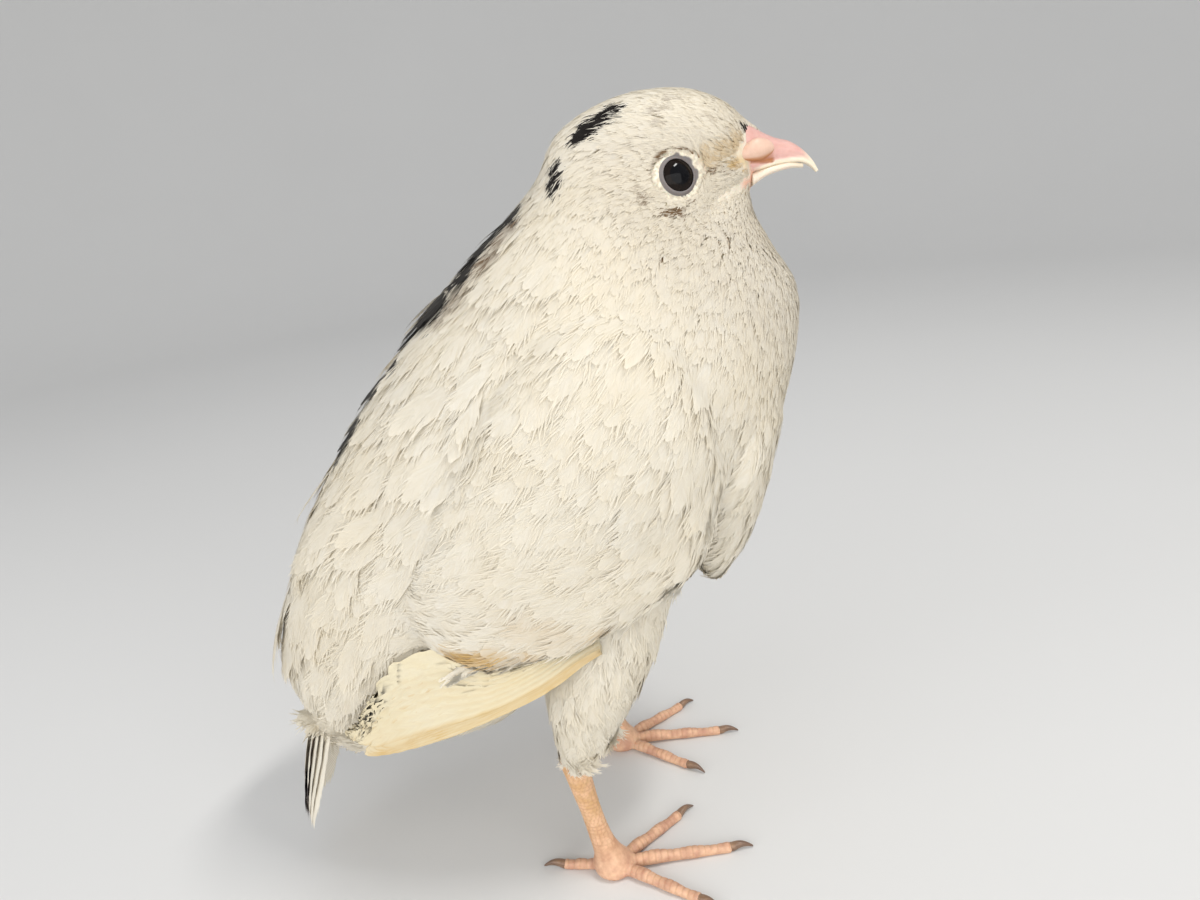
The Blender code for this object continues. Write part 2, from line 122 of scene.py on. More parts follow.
THIGH = (
    ((1.8, 14.5, 59.0), 10.0, 9.5),
    ((-3.0, 17.8, 50.0), 9.8, 9.0),
    ((-6.2, 19.6, 42.0), 8.6, 7.6),
    ((-8.3, 20.2, 35.0), 6.5, 5.8),
    ((-10.3, 20.4, 29.6), 4.4, 4.2),
    ((-11.3, 20.3, 26.8), 3.2, 3.1),
)
SHANK = (
    ((-12.1, 20.3, 26.5), 2.7, 2.4),
    ((-11.8, 20.3, 22.8), 2.4, 2.0),
    ((-10.6, 20.0, 15.0), 2.0, 1.7),
    ((-9.4, 19.8, 8.4), 2.2, 1.9),
    ((-8.4, 19.6, 4.8), 2.8, 2.6),
    ((-7.8, 19.5, 2.6), 3.8, 3.6),
    ((-7.6, 19.5, 1.0), 3.9, 3.8),
    ((-7.6, 19.5, 0.0), 3.1, 3.0),
)
FOOT_X, FOOT_Y, LEFT_FORWARD = -7.6, 19.5, 4.0
TOES = (
    ("inner", 40.0, 3.6, 14.6, 1.30),
    ("middle", 2.0, 3.6, 19.3, 1.40),
    ("outer", -36.0, 3.6, 15.0, 1.30),
    ("hallux", 168.0, 3.6, 6.4, 1.10),
)
CLAW, GAP = 4.0, 0.3
BILL_ROOT = np.array([33.0, 0.0, 127.0])
SIDES_OF = ((-1, "right"), (1, "left"))


# ---------------------------------------------------------------- numbers
def catmull(rows, s):
    rows = np.asarray(rows, float)
    top = len(rows) - 1
    s = np.clip(np.asarray(s, float), 0, top)
    i = np.minimum(np.floor(s).astype(int), top - 1)
    f = (s - i)[..., None]
    e = np.vstack([2 * rows[0] - rows[1], rows, 2 * rows[-1] - rows[-2]])
    a, b, c, d = e[i], e[i + 1], e[i + 2], e[i + 3]
    return 0.5 * (2 * b + (c - a) * f + (2 * a - 5 * b + 4 * c - d) * f * f + (3 * b - a - 3 * c + d) * f**3)


def spow(v, p):
    return np.sign(v) * np.abs(v) ** p


def smooth(a, b, x):
    t = np.clip((np.asarray(x, float) - a) / (b - a), 0, 1)
    return t * t * (3 - 2 * t)


def unit(v):
    return v / np.maximum(np.linalg.norm(v, axis=-1, keepdims=True), 1e-12)


def dot(a, b):
    return np.sum(a * b, axis=-1)


def body(s, turn, out=0.0):
    """Points of the body's surface; turn in degrees from the back, positive to the left."""
    s, turn, out = np.broadcast_arrays(np.asarray(s, float), np.asarray(turn, float), np.asarray(out, float))
    r = catmull(BODY_ROWS, s)
    dx, dz, vx, vz, w, e = np.moveaxis(r, -1, 0)
    a, k = np.radians(turn), 2.0 / BODY_ROUND
    c, q = spow(np.cos(a), k), spow(np.sin(a), k)
    length = np.hypot(dx - vx, dz - vz)
    half = length / 2 + out
    ux, uz = (dx - vx) / length, (dz - vz) / length
    return np.stack([(dx + vx) / 2 + ux * half * c, (w + out) * q * (1 - e * np.cos(a)), (dz + vz) / 2 + uz * half * c], -1)


def station(P):
    """For points, the body's station and turn in degrees."""
    S = np.arange(0, 17.001, 0.05)
    r = catmull(BODY_ROWS, S)
    dx, dz, vx, vz, w, e = r.T
    ex, ez = dx - vx, dz - vz
    ln = np.hypot(ex, ez)
    best_s, best_t = np.empty(len(P)), np.empty(len(P))
    for a in range(0, len(P), 20000):
        x, z = P[a : a + 20000, 0:1], P[a : a + 20000, 2:3]
        side = np.abs((ex * (z - vz) - ez * (x - vx)) / ln)
        t = (ex * (x - vx) + ez * (z - vz)) / ln**2 * 2 - 1
        cost = side + 6.0 * np.maximum(np.abs(t) - 1.05, 0)
        i = np.argmin(cost, axis=1)
        best_s[a : a + 20000] = S[i]
        best_t[a : a + 20000] = t[np.arange(len(i)), i]
    width = catmull(BODY_ROWS, best_s)[:, 4]
    c = spow(np.clip(best_t, -1.3, 1.3), BODY_ROUND / 2)
    q = spow(np.clip(P[:, 1] / width, -1.6, 1.6), BODY_ROUND / 2)
    return best_s, np.degrees(np.arctan2(q, c))


FLANK_S = np.arange(0, 17.001, 0.05)
FLANK_R = catmull(BODY_ROWS, FLANK_S)


def flank(x, z):
    x, z = np.broadcast_arrays(np.asarray(x, float), np.asarray(z, float))
    shape = x.shape
    x, z = x.reshape(-1, 1), z.reshape(-1, 1)
    dx, dz, vx, vz, w, e = FLANK_R.T
    ex, ez = dx - vx, dz - vz
    ln = np.hypot(ex, ez)
    out = np.empty(len(x))
    for a in range(0, len(x), 20000):
        side = np.abs((ex * (z[a : a + 20000] - vz) - ez * (x[a : a + 20000] - vx)) / ln)
        i = np.argmin(side, axis=1)
        n = np.arange(len(i))
        t = ((ex * (x[a : a + 20000] - vx) + ez * (z[a : a + 20000] - vz)) / ln**2 * 2 - 1)[n, i]
        k = 2.0 / BODY_ROUND
        ang = np.arccos(np.clip(spow(np.clip(t, -1, 1), 1 / k), -1, 1))
        out[a : a + 20000] = np.where(np.abs(t) < 1, w[i] * np.sin(ang) ** k * (1 - e[i] * np.cos(ang)), 0)
    return out.reshape(shape)


def value_noise(P, scale, seed=0):
    """Smooth noise in -1..1 with features of about scale mm."""
    q = np.asarray(P, float) / scale + seed * 17.31
    i = np.floor(q).astype(np.int64)
    f = q - i
    f = f * f * (3 - 2 * f)
    total = 0
    for dx in (0, 1):
        for dy in (0, 1):
            for dz in (0, 1):
                h = (i[..., 0] + dx) * 73856093 ^ (i[..., 1] + dy) * 19349663 ^ (i[..., 2] + dz) * 83492791
                h = (h ^ (h >> 13)) * 1274126177 & 0x7FFFFFFF
                v = (h ^ (h >> 16)) % 65536 / 32767.5 - 1
                w = (f[..., 0] if dx else 1 - f[..., 0]) * (f[..., 1] if dy else 1 - f[..., 1]) * (f[..., 2] if dz else 1 - f[..., 2])
                total = total + v * w
    return total


# ---------------------------------------------------------------- meshes
def mesh_object(name, verts, faces=None, tris=None, material=None, smooth_faces=True, attrs=None, uv=None, normals=None):
    """An object from numpy points in mm, with quads and triangles as index arrays, or a list of faces."""
    me = bpy.data.meshes.new(name)
    v = np.asarray(verts, float).copy()
    v[:, 0] -= ORIGIN_X
    v *= MM
    if isinstance(faces, list):
        me.from_pydata(v.tolist(), [], faces)
    else:
        q = np.zeros((0, 4), int) if faces is None else np.asarray(faces, int)
        t = np.zeros((0, 3), int) if tris is None else np.asarray(tris, int)
        loops = np.concatenate([q.ravel(), t.ravel()])
        starts = np.concatenate([np.arange(len(q)) * 4, len(q) * 4 + np.arange(len(t)) * 3])
        me.vertices.add(len(v))
        me.vertices.foreach_set("co", v.astype(np.float32).ravel())
        me.loops.add(len(loops))
        me.loops.foreach_set("vertex_index", loops.astype(np.int32))
        me.polygons.add(len(q) + len(t))
        me.polygons.foreach_set("loop_start", starts.astype(np.int32))
        me.update(calc_edges=True)
        me.validate()
    if smooth_faces:
        me.shade_smooth()
    for key, val in (attrs or {}).items():
        val = np.asarray(val, np.float32)
        if val.ndim == 1:
            me.attributes.new(key, "FLOAT", "POINT").data.foreach_set("value", val)
        else:
            me.attributes.new(key, "FLOAT_VECTOR", "POINT").data.foreach_set("vector", val.ravel())
    if uv is not None:
        layer = me.uv_layers.new(name="OFBake")
        idx = np.empty(len(me.loops), np.int32)
        me.loops.foreach_get("vertex_index", idx)
        layer.data.foreach_set("uv", np.asarray(uv, np.float32)[idx].ravel())
    if normals is not None:
        me.normals_split_custom_set_from_vertices(unit(np.asarray(normals, float)).tolist())
    ob = bpy.data.objects.new(name, me)
    bpy.context.scene.collection.objects.link(ob)
    if material:
        me.materials.append(material)
    return ob


def loft(rings):
    """Points and faces of a tube through equal rings, each end closed with a fan."""
    rings = [np.asarray(r, float) for r in rings]
    n = len(rings[0])
    verts = np.vstack(rings + [rings[0].mean(0)[None], rings[-1].mean(0)[None]])
    m = len(rings)
    faces = [(i * n + j, i * n + (j + 1) % n, (i + 1) * n + (j + 1) % n, (i + 1) * n + j) for i in range(m - 1) for j in range(n)]
    faces += [((j + 1) % n, j, m * n) for j in range(n)]
    faces += [((m - 1) * n + j, (m - 1) * n + (j + 1) % n, m * n + 1) for j in range(n)]
    return verts, faces


def grid_slab(inner, outer):
    """A closed slab between two equal grids of points."""
    rows, cols = inner.shape[:2]
    verts = np.vstack([inner.reshape(-1, 3), outer.reshape(-1, 3)])
    n, faces = rows * cols, []
    for i in range(rows - 1):
        for k in range(cols - 1):
            a = i * cols + k
            faces.append((a, a + 1, a + cols + 1, a + cols))
            faces.append((n + a, n + a + cols, n + a + cols + 1, n + a + 1))
    rim = list(range(cols)) + [i * cols + cols - 1 for i in range(1, rows)]
    rim += [(rows - 1) * cols + k for k in range(cols - 2, -1, -1)] + [i * cols for i in range(rows - 2, 0, -1)]
    for i, a in enumerate(rim):
        b = rim[(i + 1) % len(rim)]
        faces.append((a, n + a, n + b, b))
    return verts, faces


def ring_body(stations, out, sides=72):
    turn = np.linspace(0, 360, sides, endpoint=False)
    outs = np.broadcast_to(out, len(stations))
    return [body(s, turn, o) for s, o in zip(stations, outs)]


def wing_sheets(rows, side, across, along, thick, edge, inset=0.0, v0=0.0, v1=1.0, f0=0.0, f1=1.0):
    """The inner and outer faces of the slab that lies on the flank."""
    flat = [[u[0], u[1], l[0], l[1], h] for u, l, h in rows]
    f = np.linspace(f0, f1, along)[:, None]
    v = np.linspace(v0, v1, across)[None, :]
    ux, uz, lx, lz, hang = np.moveaxis(catmull(flat, f[:, 0] * (len(rows) - 1)), -1, 0)
    ux, uz, lx, lz, hang = (q[:, None] for q in (ux, uz, lx, lz, hang))
    x, z = ux + (lx - ux) * v, uz + (lz - uz) * v
    upper = flank(ux, uz)
    chord = upper + (hang - upper) * v**0.8 - 0.5 * (1 - v)
    lie = flank(x, z) + GAP + 0.12
    y = np.logaddexp(lie, chord)
    bulge = np.sin(np.pi * v) ** 0.6 * np.sin(np.pi * np.clip(f, 0, 1)) ** 0.5
    t = edge + (thick - edge) * bulge
    inner = np.stack([x, side * y, z], -1)
    outer = np.stack([x, side * (y + t - inset), z], -1)
    return inner, outer


def lobe_sheets(side, along=22, across=15, sink=0.0, lower=0.0):
    t = np.linspace(0, 1, along)[:, None]
    v = np.linspace(-1, 1, across)[None, :]
    s = LOBE_ROOT + (LOBE_TIP - LOBE_ROOT) * t
    mid = LOBE_TURN[0] + (LOBE_TURN[1] - LOBE_TURN[0]) * t
    half = LOBE_HALF * (0.55 + 0.45 * np.sin(np.pi * np.minimum(t * 1.25, 0.5 + t / 2)))
    half = half * np.sqrt(np.maximum(1 - np.maximum(t - 0.55, 0) ** 2 / 0.22, 0.10))
    turn = side * (mid + half * v)
    low = GAP + 0.15 + 1.5 * t**2
    high = low + 0.6 + (LOBE_STAND - 0.6) * (1 - 0.8 * v * v) * t**1.35 * np.sqrt(1 - 0.75 * t**5)
    return body(s, turn, low - lower * (1 - t)), body(s, turn, high - sink)


def section_rings(rows, steps, sides, power=2.0, under=None, grow=0.0):
    flat = [[t[0], t[1], b[0], b[1], w] for t, b, w in rows]
    a = 2 * np.pi * np.arange(sides) / sides
    k = np.where(np.cos(a) < 0, 2 / (under or power), 2 / power)
    c, q = spow(np.cos(a), k), spow(np.sin(a), k)
    rings = []
    for s in np.linspace(0, len(rows) - 1, steps):
        tx, tz, bx, bz, w = catmull(flat, s)
        ln = math.hypot(tx - bx, tz - bz)
        ux, uz, half = (tx - bx) / ln, (tz - bz) / ln, ln / 2 + grow
        rings.append(np.stack([(tx + bx) / 2 + ux * half * c, (w + grow) * q, (tz + bz) / 2 + uz * half * c], -1))
    return rings


def limb_rings(rows, side, steps, sides, dx=0.0, grow=0.0, floor=None, s0=0.0, s1=None):
    flat = [[*c, rx, ry] for c, rx, ry in rows]
    a = 2 * np.pi * np.arange(sides) / sides
    rings = []
    for s in np.linspace(s0, len(rows) - 1 if s1 is None else s1, steps):
        x, y, z, rx, ry = catmull(flat, s)
        g = grow(s) if callable(grow) else grow
        pz = z if floor is None else max(z, floor)
        rings.append(np.stack([x + dx + (rx + g) * np.cos(a), side * y + (ry + g) * np.sin(a), np.full(sides, pz)], -1))
    return rings


def toe_rings(base, yaw, start, length, radius, sides, steps, end_radius):
    ca, sa = math.cos(yaw), math.sin(yaw)
    a = 2 * np.pi * (np.arange(sides) + 0.5) / sides
    rings = []
    for t in np.linspace(0, 1, steps):
        r = (radius + (end_radius - radius) * t) * (1 + 0.07 * math.cos(t * math.pi * 6))
        d = start + length * t
        z = r * (0.86 + 0.35 * math.sin(math.pi * min(t * 1.1, 1.0)) * (1 - t))
        across, up = r * np.cos(a), z + r * np.sin(a)
        rings.append(np.stack([base[0] + ca * d - sa * across, base[1] + sa * d + ca * across, np.maximum(up, 0.0)], -1))
    return rings


def arrays_of(ob):
    """An object's evaluated mesh as points in mm and lists of faces."""
    dg = bpy.context.evaluated_depsgraph_get()
    ev = ob.evaluated_get(dg)
    me = ev.to_mesh()
    co = np.empty(len(me.vertices) * 3, np.float32)
    me.vertices.foreach_get("co", co)
    n = len(me.polygons)
    start, total = np.empty(n, np.int32), np.empty(n, np.int32)
    me.polygons.foreach_get("loop_start", start)
    me.polygons.foreach_get("loop_total", total)
    idx = np.empty(len(me.loops), np.int32)
    me.loops.foreach_get("vertex_index", idx)
    faces = [idx[s : s + t].tolist() for s, t in zip(start.tolist(), total.tolist())]
    ev.to_mesh_clear()
    return co.reshape(-1, 3).astype(float), faces


def raw_object(name, verts, faces):
    """A working object whose unit is 1 mm."""
    me = bpy.data.meshes.new(name)
    me.from_pydata(np.asarray(verts, float).tolist(), [], [list(map(int, f)) for f in faces])
    ob = bpy.data.objects.new(name, me)
    bpy.context.scene.collection.objects.link(ob)
    return ob


def drop(*obs):
    for o in obs:
        me = o.data
        bpy.data.objects.remove(o, do_unlink=True)
        bpy.data.meshes.remove(me)


def outward(ob):
    bm = bmesh.new()
    bm.from_mesh(ob.data)
    bmesh.ops.recalc_face_normals(bm, faces=bm.faces)
    bm.to_mesh(ob.data)
    bm.free()


def voxel(parts, size):
    """Closed shapes (points, faces) grown together into one even surface."""
    verts, faces, base = [], [], 0
    for v, f in parts:
        verts.append(v)
        faces += [[i + base for i in g] for g in f]
        base += len(v)
    ob = raw_object("grown", np.vstack(verts), faces)
    outward(ob)
    m = ob.modifiers.new("grow", "REMESH")
    m.mode = "VOXEL"
    m.voxel_size = size
    m.adaptivity = 0
    v, f = arrays_of(ob)
    drop(ob)
    return v, f


def edges_of(faces):
    e = np.array([(a, b) for f in faces for a, b in zip(f, f[1:] + f[:1])])
    e.sort(axis=1)
    return np.unique(e, axis=0)


def relax(values, edges, rounds, share=0.5):
    """Each vertex's numbers drawn towards its neighbours' mean."""
    n = len(values)
    deg = np.bincount(edges.ravel(), minlength=n).astype(float)
    out = values.astype(float).copy()
    for _ in range(rounds):
        if out.ndim == 1:
            s = np.bincount(edges[:, 0], out[edges[:, 1]], n) + np.bincount(edges[:, 1], out[edges[:, 0]], n)
            out += share * (s / deg - out)
        else:
            for c in range(out.shape[1]):
                col = out[:, c]
                s = np.bincount(edges[:, 0], col[edges[:, 1]], n) + np.bincount(edges[:, 1], col[edges[:, 0]], n)
                out[:, c] = col + share * (s / deg - col)
    return out


def corner_array(faces):
    """Faces as rows of four indices, a triangle repeating its last."""
    return np.array([f if len(f) == 4 else list(f) + [f[-1]] for f in faces])


def vertex_normals(verts, quads):
    a, b, c, d = (verts[quads[:, i]] for i in range(4))
    n = np.cross(c - a, d - b)
    n[np.all(quads[:, 2:3] == quads[:, 3:4], axis=1)] = np.cross(b - a, c - a)[np.all(quads[:, 2:3] == quads[:, 3:4], axis=1)]
    out = np.zeros_like(verts)
    for i in range(4):
        for k in range(3):
            out[:, k] += np.bincount(quads[:, i], n[:, k], len(verts))
    return unit(out)


def segment_distance(P, a, b):
    a, b = np.asarray(a, float), np.asarray(b, float)
    d = b - a
    t = np.clip(((P - a) @ d) / max(d @ d, 1e-9), 0, 1)
    return np.linalg.norm(P - (a + t[:, None] * d), axis=1), t


# ---------------------------------------------------------------- markings
DARK = (
    # (from, to, radius, softness, strength)
    ((3.0, -6.2, 134.2), (9.0, -5.0, 138.4), 1.6, 0.5, 0.80),  # hind crown
    ((-1.2, -7.0, 130.8), (-2.4, -11.4, 126.4), 1.05, 0.6, 0.80),  # nape
    ((30.3, -4.4, 132.9), (34.3, -1.0, 131.2), 0.40, 0.35, 1.0),  # beside the culmen
    ((30.3, 4.4, 132.9), (34.3, 1.0, 131.2), 0.35, 0.35, 0.9),
    ((-11.5, -3.0, 121.8), (-18.0, -6.5, 116.8), 4.2, 1.0, 1.0),  # mantle
    ((-12.0, 3.0, 121.2), (-19.0, 3.0, 116.0), 3.4, 1.0, 1.0),
    ((-24.0, -5.0, 111.2), (-33.5, -4.5, 101.3), 3.6, 1.0, 1.0),
    ((-24.0, 4.0, 111.2), (-30.5, 6.5, 104.5), 2.6, 0.9, 1.0),
    ((-38.5, -3.0, 95.5), (-46.5, -3.5, 85.5), 1.9, 1.0, 0.85),
    ((4.2, 6.4, 134.4), (7.6, 6.0, 137.0), 0.95, 0.5, 0.95),  # left side
    ((-2.2, 10.4, 127.6), (-1.6, 8.2, 130.0), 0.6, 0.5, 0.6),
    ((-14.0, 16.5, 113.5), (-18.5, 17.5, 108.5), 1.7, 0.8, 0.95),
    ((-30.0, 20.0, 88.0), (-33.0, 20.5, 84.0), 1.3, 0.8, 0.8),
)
# brown markings, and one painted shade line along the cheek crease
BROWN_AND_SHADE = (
    ((-10.5, -9.5, 120.9), (-15.5, -11.0, 116.5), 2.0, 1.6, 0.8),  # edge of the mantle patch
    ((-17.5, -11.0, 114.4), (-24.0, -10.0, 108.6), 1.8, 1.6, 0.5),
    ((10.6, -12.2, 126.3), (11.9, -14.5, 123.7), 0.75, 0.8, 0.55),  # ear
    ((10.9, 12.9, 125.4), (9.9, 14.4, 124.6), 0.6, 0.8, 0.45),
    ((15.7, -15.2, 121.1), (16.0, -14.9, 121.1), 0.38, 0.25, 1.3),  # below the eye
    ((17.3, -14.2, 121.3), (17.5, -14.2, 120.8), 0.50, 0.25, 1.4),
    ((15.3, -13.9, 122.4), (14.9, -14.6, 121.9), 0.15, 0.25, 0.8),
    ((12.9, -20.9, 115.3), (12.8, -21.2, 114.6), 0.25, 0.3, 0.9),
    ((14.3, -20.1, 115.6), (14.3, -20.3, 115.2), 0.20, 0.3, 0.7),
    ((25.3, -12.5, 116.7), (25.9, -12.4, 116.4), 0.5, 0.6, 0.30),
    ((30.6, -7.7, 115.7), (31.2, -7.6, 115.3), 0.5, 0.6, 0.30),
    ((15.4, -7.5, 137.0), (18.2, -7.4, 137.3), 0.55, 0.7, 0.45),  # crown
    ((18.0, -6.0, 138.6), (21.0, -6.2, 138.3), 0.45, 0.6, 0.40),
    ((15.2, -8.6, 134.8), (16.4, -8.6, 134.8), 0.30, 0.5, 0.30),
    ((15.0, -9.7, 130.8), (16.0, -9.7, 130.6), 0.25, 0.4, 0.40),
    ((24.0, -8.0, 135.0), (25.2, -8.1, 134.8), 0.30, 0.4, 0.35),
    ((21.7, -9.6, 126.7), (24.1, -9.0, 126.5), 0.22, 0.3, 1.1),  # dark line before the eye
    ((24.1, -9.0, 126.5), (25.4, -8.6, 127.2), 0.18, 0.3, 1.0),
    ((25.4, -8.6, 127.2), (27.2, -7.7, 126.1), 0.18, 0.3, 1.0),
    ((22.6, -10.0, 124.0), (18.4, -13.4, 121.3), 0.12, 0.3, 0.7),  # painted shade along the crease on the cheek
    ((22.9, 9.3, 126.8), (28.2, 7.4, 125.2), 0.35, 0.5, 0.75),
)
STAIN = (
    ((-15.8, -30.2, 54.5), (-20.5, -29.6, 54.0), 1.0, 1.4, 0.50),  # wing coverts
    ((-22.3, -29.1, 54.3), (-28.8, -27.4, 55.0), 1.5, 1.5, 0.75),
    ((-2.5, -30.0, 55.4), (-5.5, -31.0, 56.0), 1.2, 1.2, 0.40),
    ((-10.6, -31.0, 57.1), (-16.6, -31.0, 60.5), 2.6, 3.0, 0.16),
    ((-12.4, 27.5, 50.4), (-17.5, 27.8, 49.0), 2.4, 2.4, 0.45),
    ((-20.5, 28.5, 53.0), (-26.5, 28.5, 55.5), 2.4, 2.2, 0.55),
    ((23.6, -9.0, 128.6), (28.6, -6.6, 130.6), 1.6, 1.5, 0.42),  # lores
    ((23.6, 9.0, 128.6), (28.6, 6.6, 130.6), 1.6, 1.5, 0.42),
    ((27.6, -6.9, 127.4), (30.4, -5.4, 127.4), 0.8, 0.9, 0.75),  # brush behind the nostril
    ((27.6, 6.9, 127.4), (30.4, 5.4, 127.4), 0.8, 0.9, 0.75),
)


def marks(P, wobble=0.0):
    """How dark, brown and stained the plumage is at points in mm, the brown column also holding painted shade on the
    lower head and neck and along a cheek crease: an array of three columns.
    """
    out = np.zeros((len(P), 3))
    for col, table in enumerate((DARK, BROWN_AND_SHADE, STAIN)):
        for a, b, r, soft, k in table:
            near = np.abs(P[:, 0] - (a[0] + b[0]) / 2) < abs(a[0] - b[0]) / 2 + r + 4 * soft + 3
            if not near.any():
                continue
            d, _ = segment_distance(P[near], a, b)
            w = wobble[near] if isinstance(wobble, np.ndarray) else wobble
            out[near, col] = np.maximum(out[near, col], k * (1 - smooth(-soft, soft, d - r + w * (0.5 + 0.35 * r))))
    # the head is a little duller than the body, most of all behind the eye and on the neck: partly its greyer plumage,
    # partly painted shade on the lower head, added after the lid arcs
    for side, _ in SIDES_OF:
        # a dark arc over the upper lid
        c, n, u, w = eye_axes(side)
        p = P - c
        near = np.linalg.norm(p, axis=1) < 8.0
        if near.any():
            q = p[near]
            r = np.hypot(q @ u / 1.06, q @ w)
            ang = np.degrees(np.arctan2(q @ w, q @ u))
            arc = np.exp(-(((r - 4.45) / 0.22) ** 2)) * smooth(15, 45, ang) * smooth(175, 140, ang) * (q @ n > 0)
            out[near, 1] = np.maximum(out[near, 1], 0.95 * arc)
    # painted shade: the lower head and neck darkened in the brown column, together with the head's slightly greyer
    # plumage
    head = smooth(44.0, 26.0, np.linalg.norm(P - BILL_ROOT, axis=1)) * smooth(13.0, 4.0, P[:, 2] - 126.0)
    out[:, 1] = np.maximum(out[:, 1], 0.13 * head)
    return out


# ---------------------------------------------------------------- materials
class Nodes:
    """A few words for building a node tree."""

    def __init__(self, name):
        self.mat = bpy.data.materials.new(name)
        self.mat.use_nodes = True
        self.t = self.mat.node_tree
        self.p = self.t.nodes["Principled BSDF"]

    def link(self, a, b):
        self.t.links.new(a, b)

    def attr(self, name):
        n = self.t.nodes.new("ShaderNodeAttribute")
        n.attribute_name = name
        return n

    def split(self, vec):
        n = self.t.nodes.new("ShaderNodeSeparateXYZ")
        self.link(vec, n.inputs[0])
        return n.outputs

    def math(self, op, a, b=None, clamp=False):
        n = self.t.nodes.new("ShaderNodeMath")
        n.operation = op
        n.use_clamp = clamp
        for i, v in enumerate((a, b)):
            if v is None:
                continue
            if isinstance(v, (int, float)):
                n.inputs[i].default_value = v
            else:
                self.link(v, n.inputs[i])
        return n.outputs[0]

    def mix(self, fac, a, b, kind="MIX"):
        n = self.t.nodes.new("ShaderNodeMix")
        n.data_type = "RGBA"
        n.blend_type = kind
        n.clamp_factor = True
        for sock, v in ((n.inputs[0], fac), (n.inputs[6], a), (n.inputs[7], b)):
            if isinstance(v, (int, float)):
                sock.default_value = v
            elif isinstance(v, tuple):
                sock.default_value = (*v, 1)
            else:
                self.link(v, sock)
        return n.outputs[2]

    def noise(self, vec, scale, detail=2.0, rough=0.5, w=None):
        n = self.t.nodes.new("ShaderNodeTexNoise")
        n.inputs["Scale"].default_value = scale
        n.inputs["Detail"].default_value = detail
        n.inputs["Roughness"].default_value = rough
        if vec is not None:
            self.link(vec, n.inputs["Vector"])
        return n.outputs[0]

    def ramp(self, fac, stops):
        n = self.t.nodes.new("ShaderNodeValToRGB")
        el = n.color_ramp.elements
        while len(el) < len(stops):
            el.new(0.5)
        for e, (pos, col) in zip(el, stops):
            e.position = pos
            e.color = (*col, 1) if isinstance(col, tuple) else (col, col, col, 1)
        self.link(fac, n.inputs[0])
        return n.outputs[0]

    def combine(self, x, y, z):
        n = self.t.nodes.new("ShaderNodeCombineXYZ")
        for i, v in enumerate((x, y, z)):
            if isinstance(v, (int, float)):
                n.inputs[i].default_value = v
            else:
                self.link(v, n.inputs[i])
        return n.outputs[0]

    def coord(self):
        return self.t.nodes.new("ShaderNodeTexCoord").outputs["Object"]

    def bump(self, height, strength, distance, normal=None):
        n = self.t.nodes.new("ShaderNodeBump")
        n.inputs["Strength"].default_value = strength
        n.inputs["Distance"].default_value = distance
        self.link(height, n.inputs["Height"])
        if normal is not None:
            self.link(normal, n.inputs["Normal"])
        self.link(n.outputs[0], self.p.inputs["Normal"])
        return n.outputs[0]

    def set(self, **kw):
        for k, v in kw.items():
            s = self.p.inputs[k.replace("_", " ")]
            if isinstance(v, tuple):
                s.default_value = (*v, 1) if len(v) == 3 and s.type == "RGBA" else v
            elif isinstance(v, (int, float)):
                s.default_value = v
            else:
                self.link(v, s)


WHITE = (0.89, 0.85, 0.757)
CREAM = (0.85, 0.775, 0.62)
# SHADE: painted shade for the fine streaks between barbs
SHADE = (0.71, 0.63, 0.48)
BLACK = (0.013, 0.010, 0.009)
UMBER = (0.20, 0.125, 0.065)
OCHRE = (0.68, 0.47, 0.19)


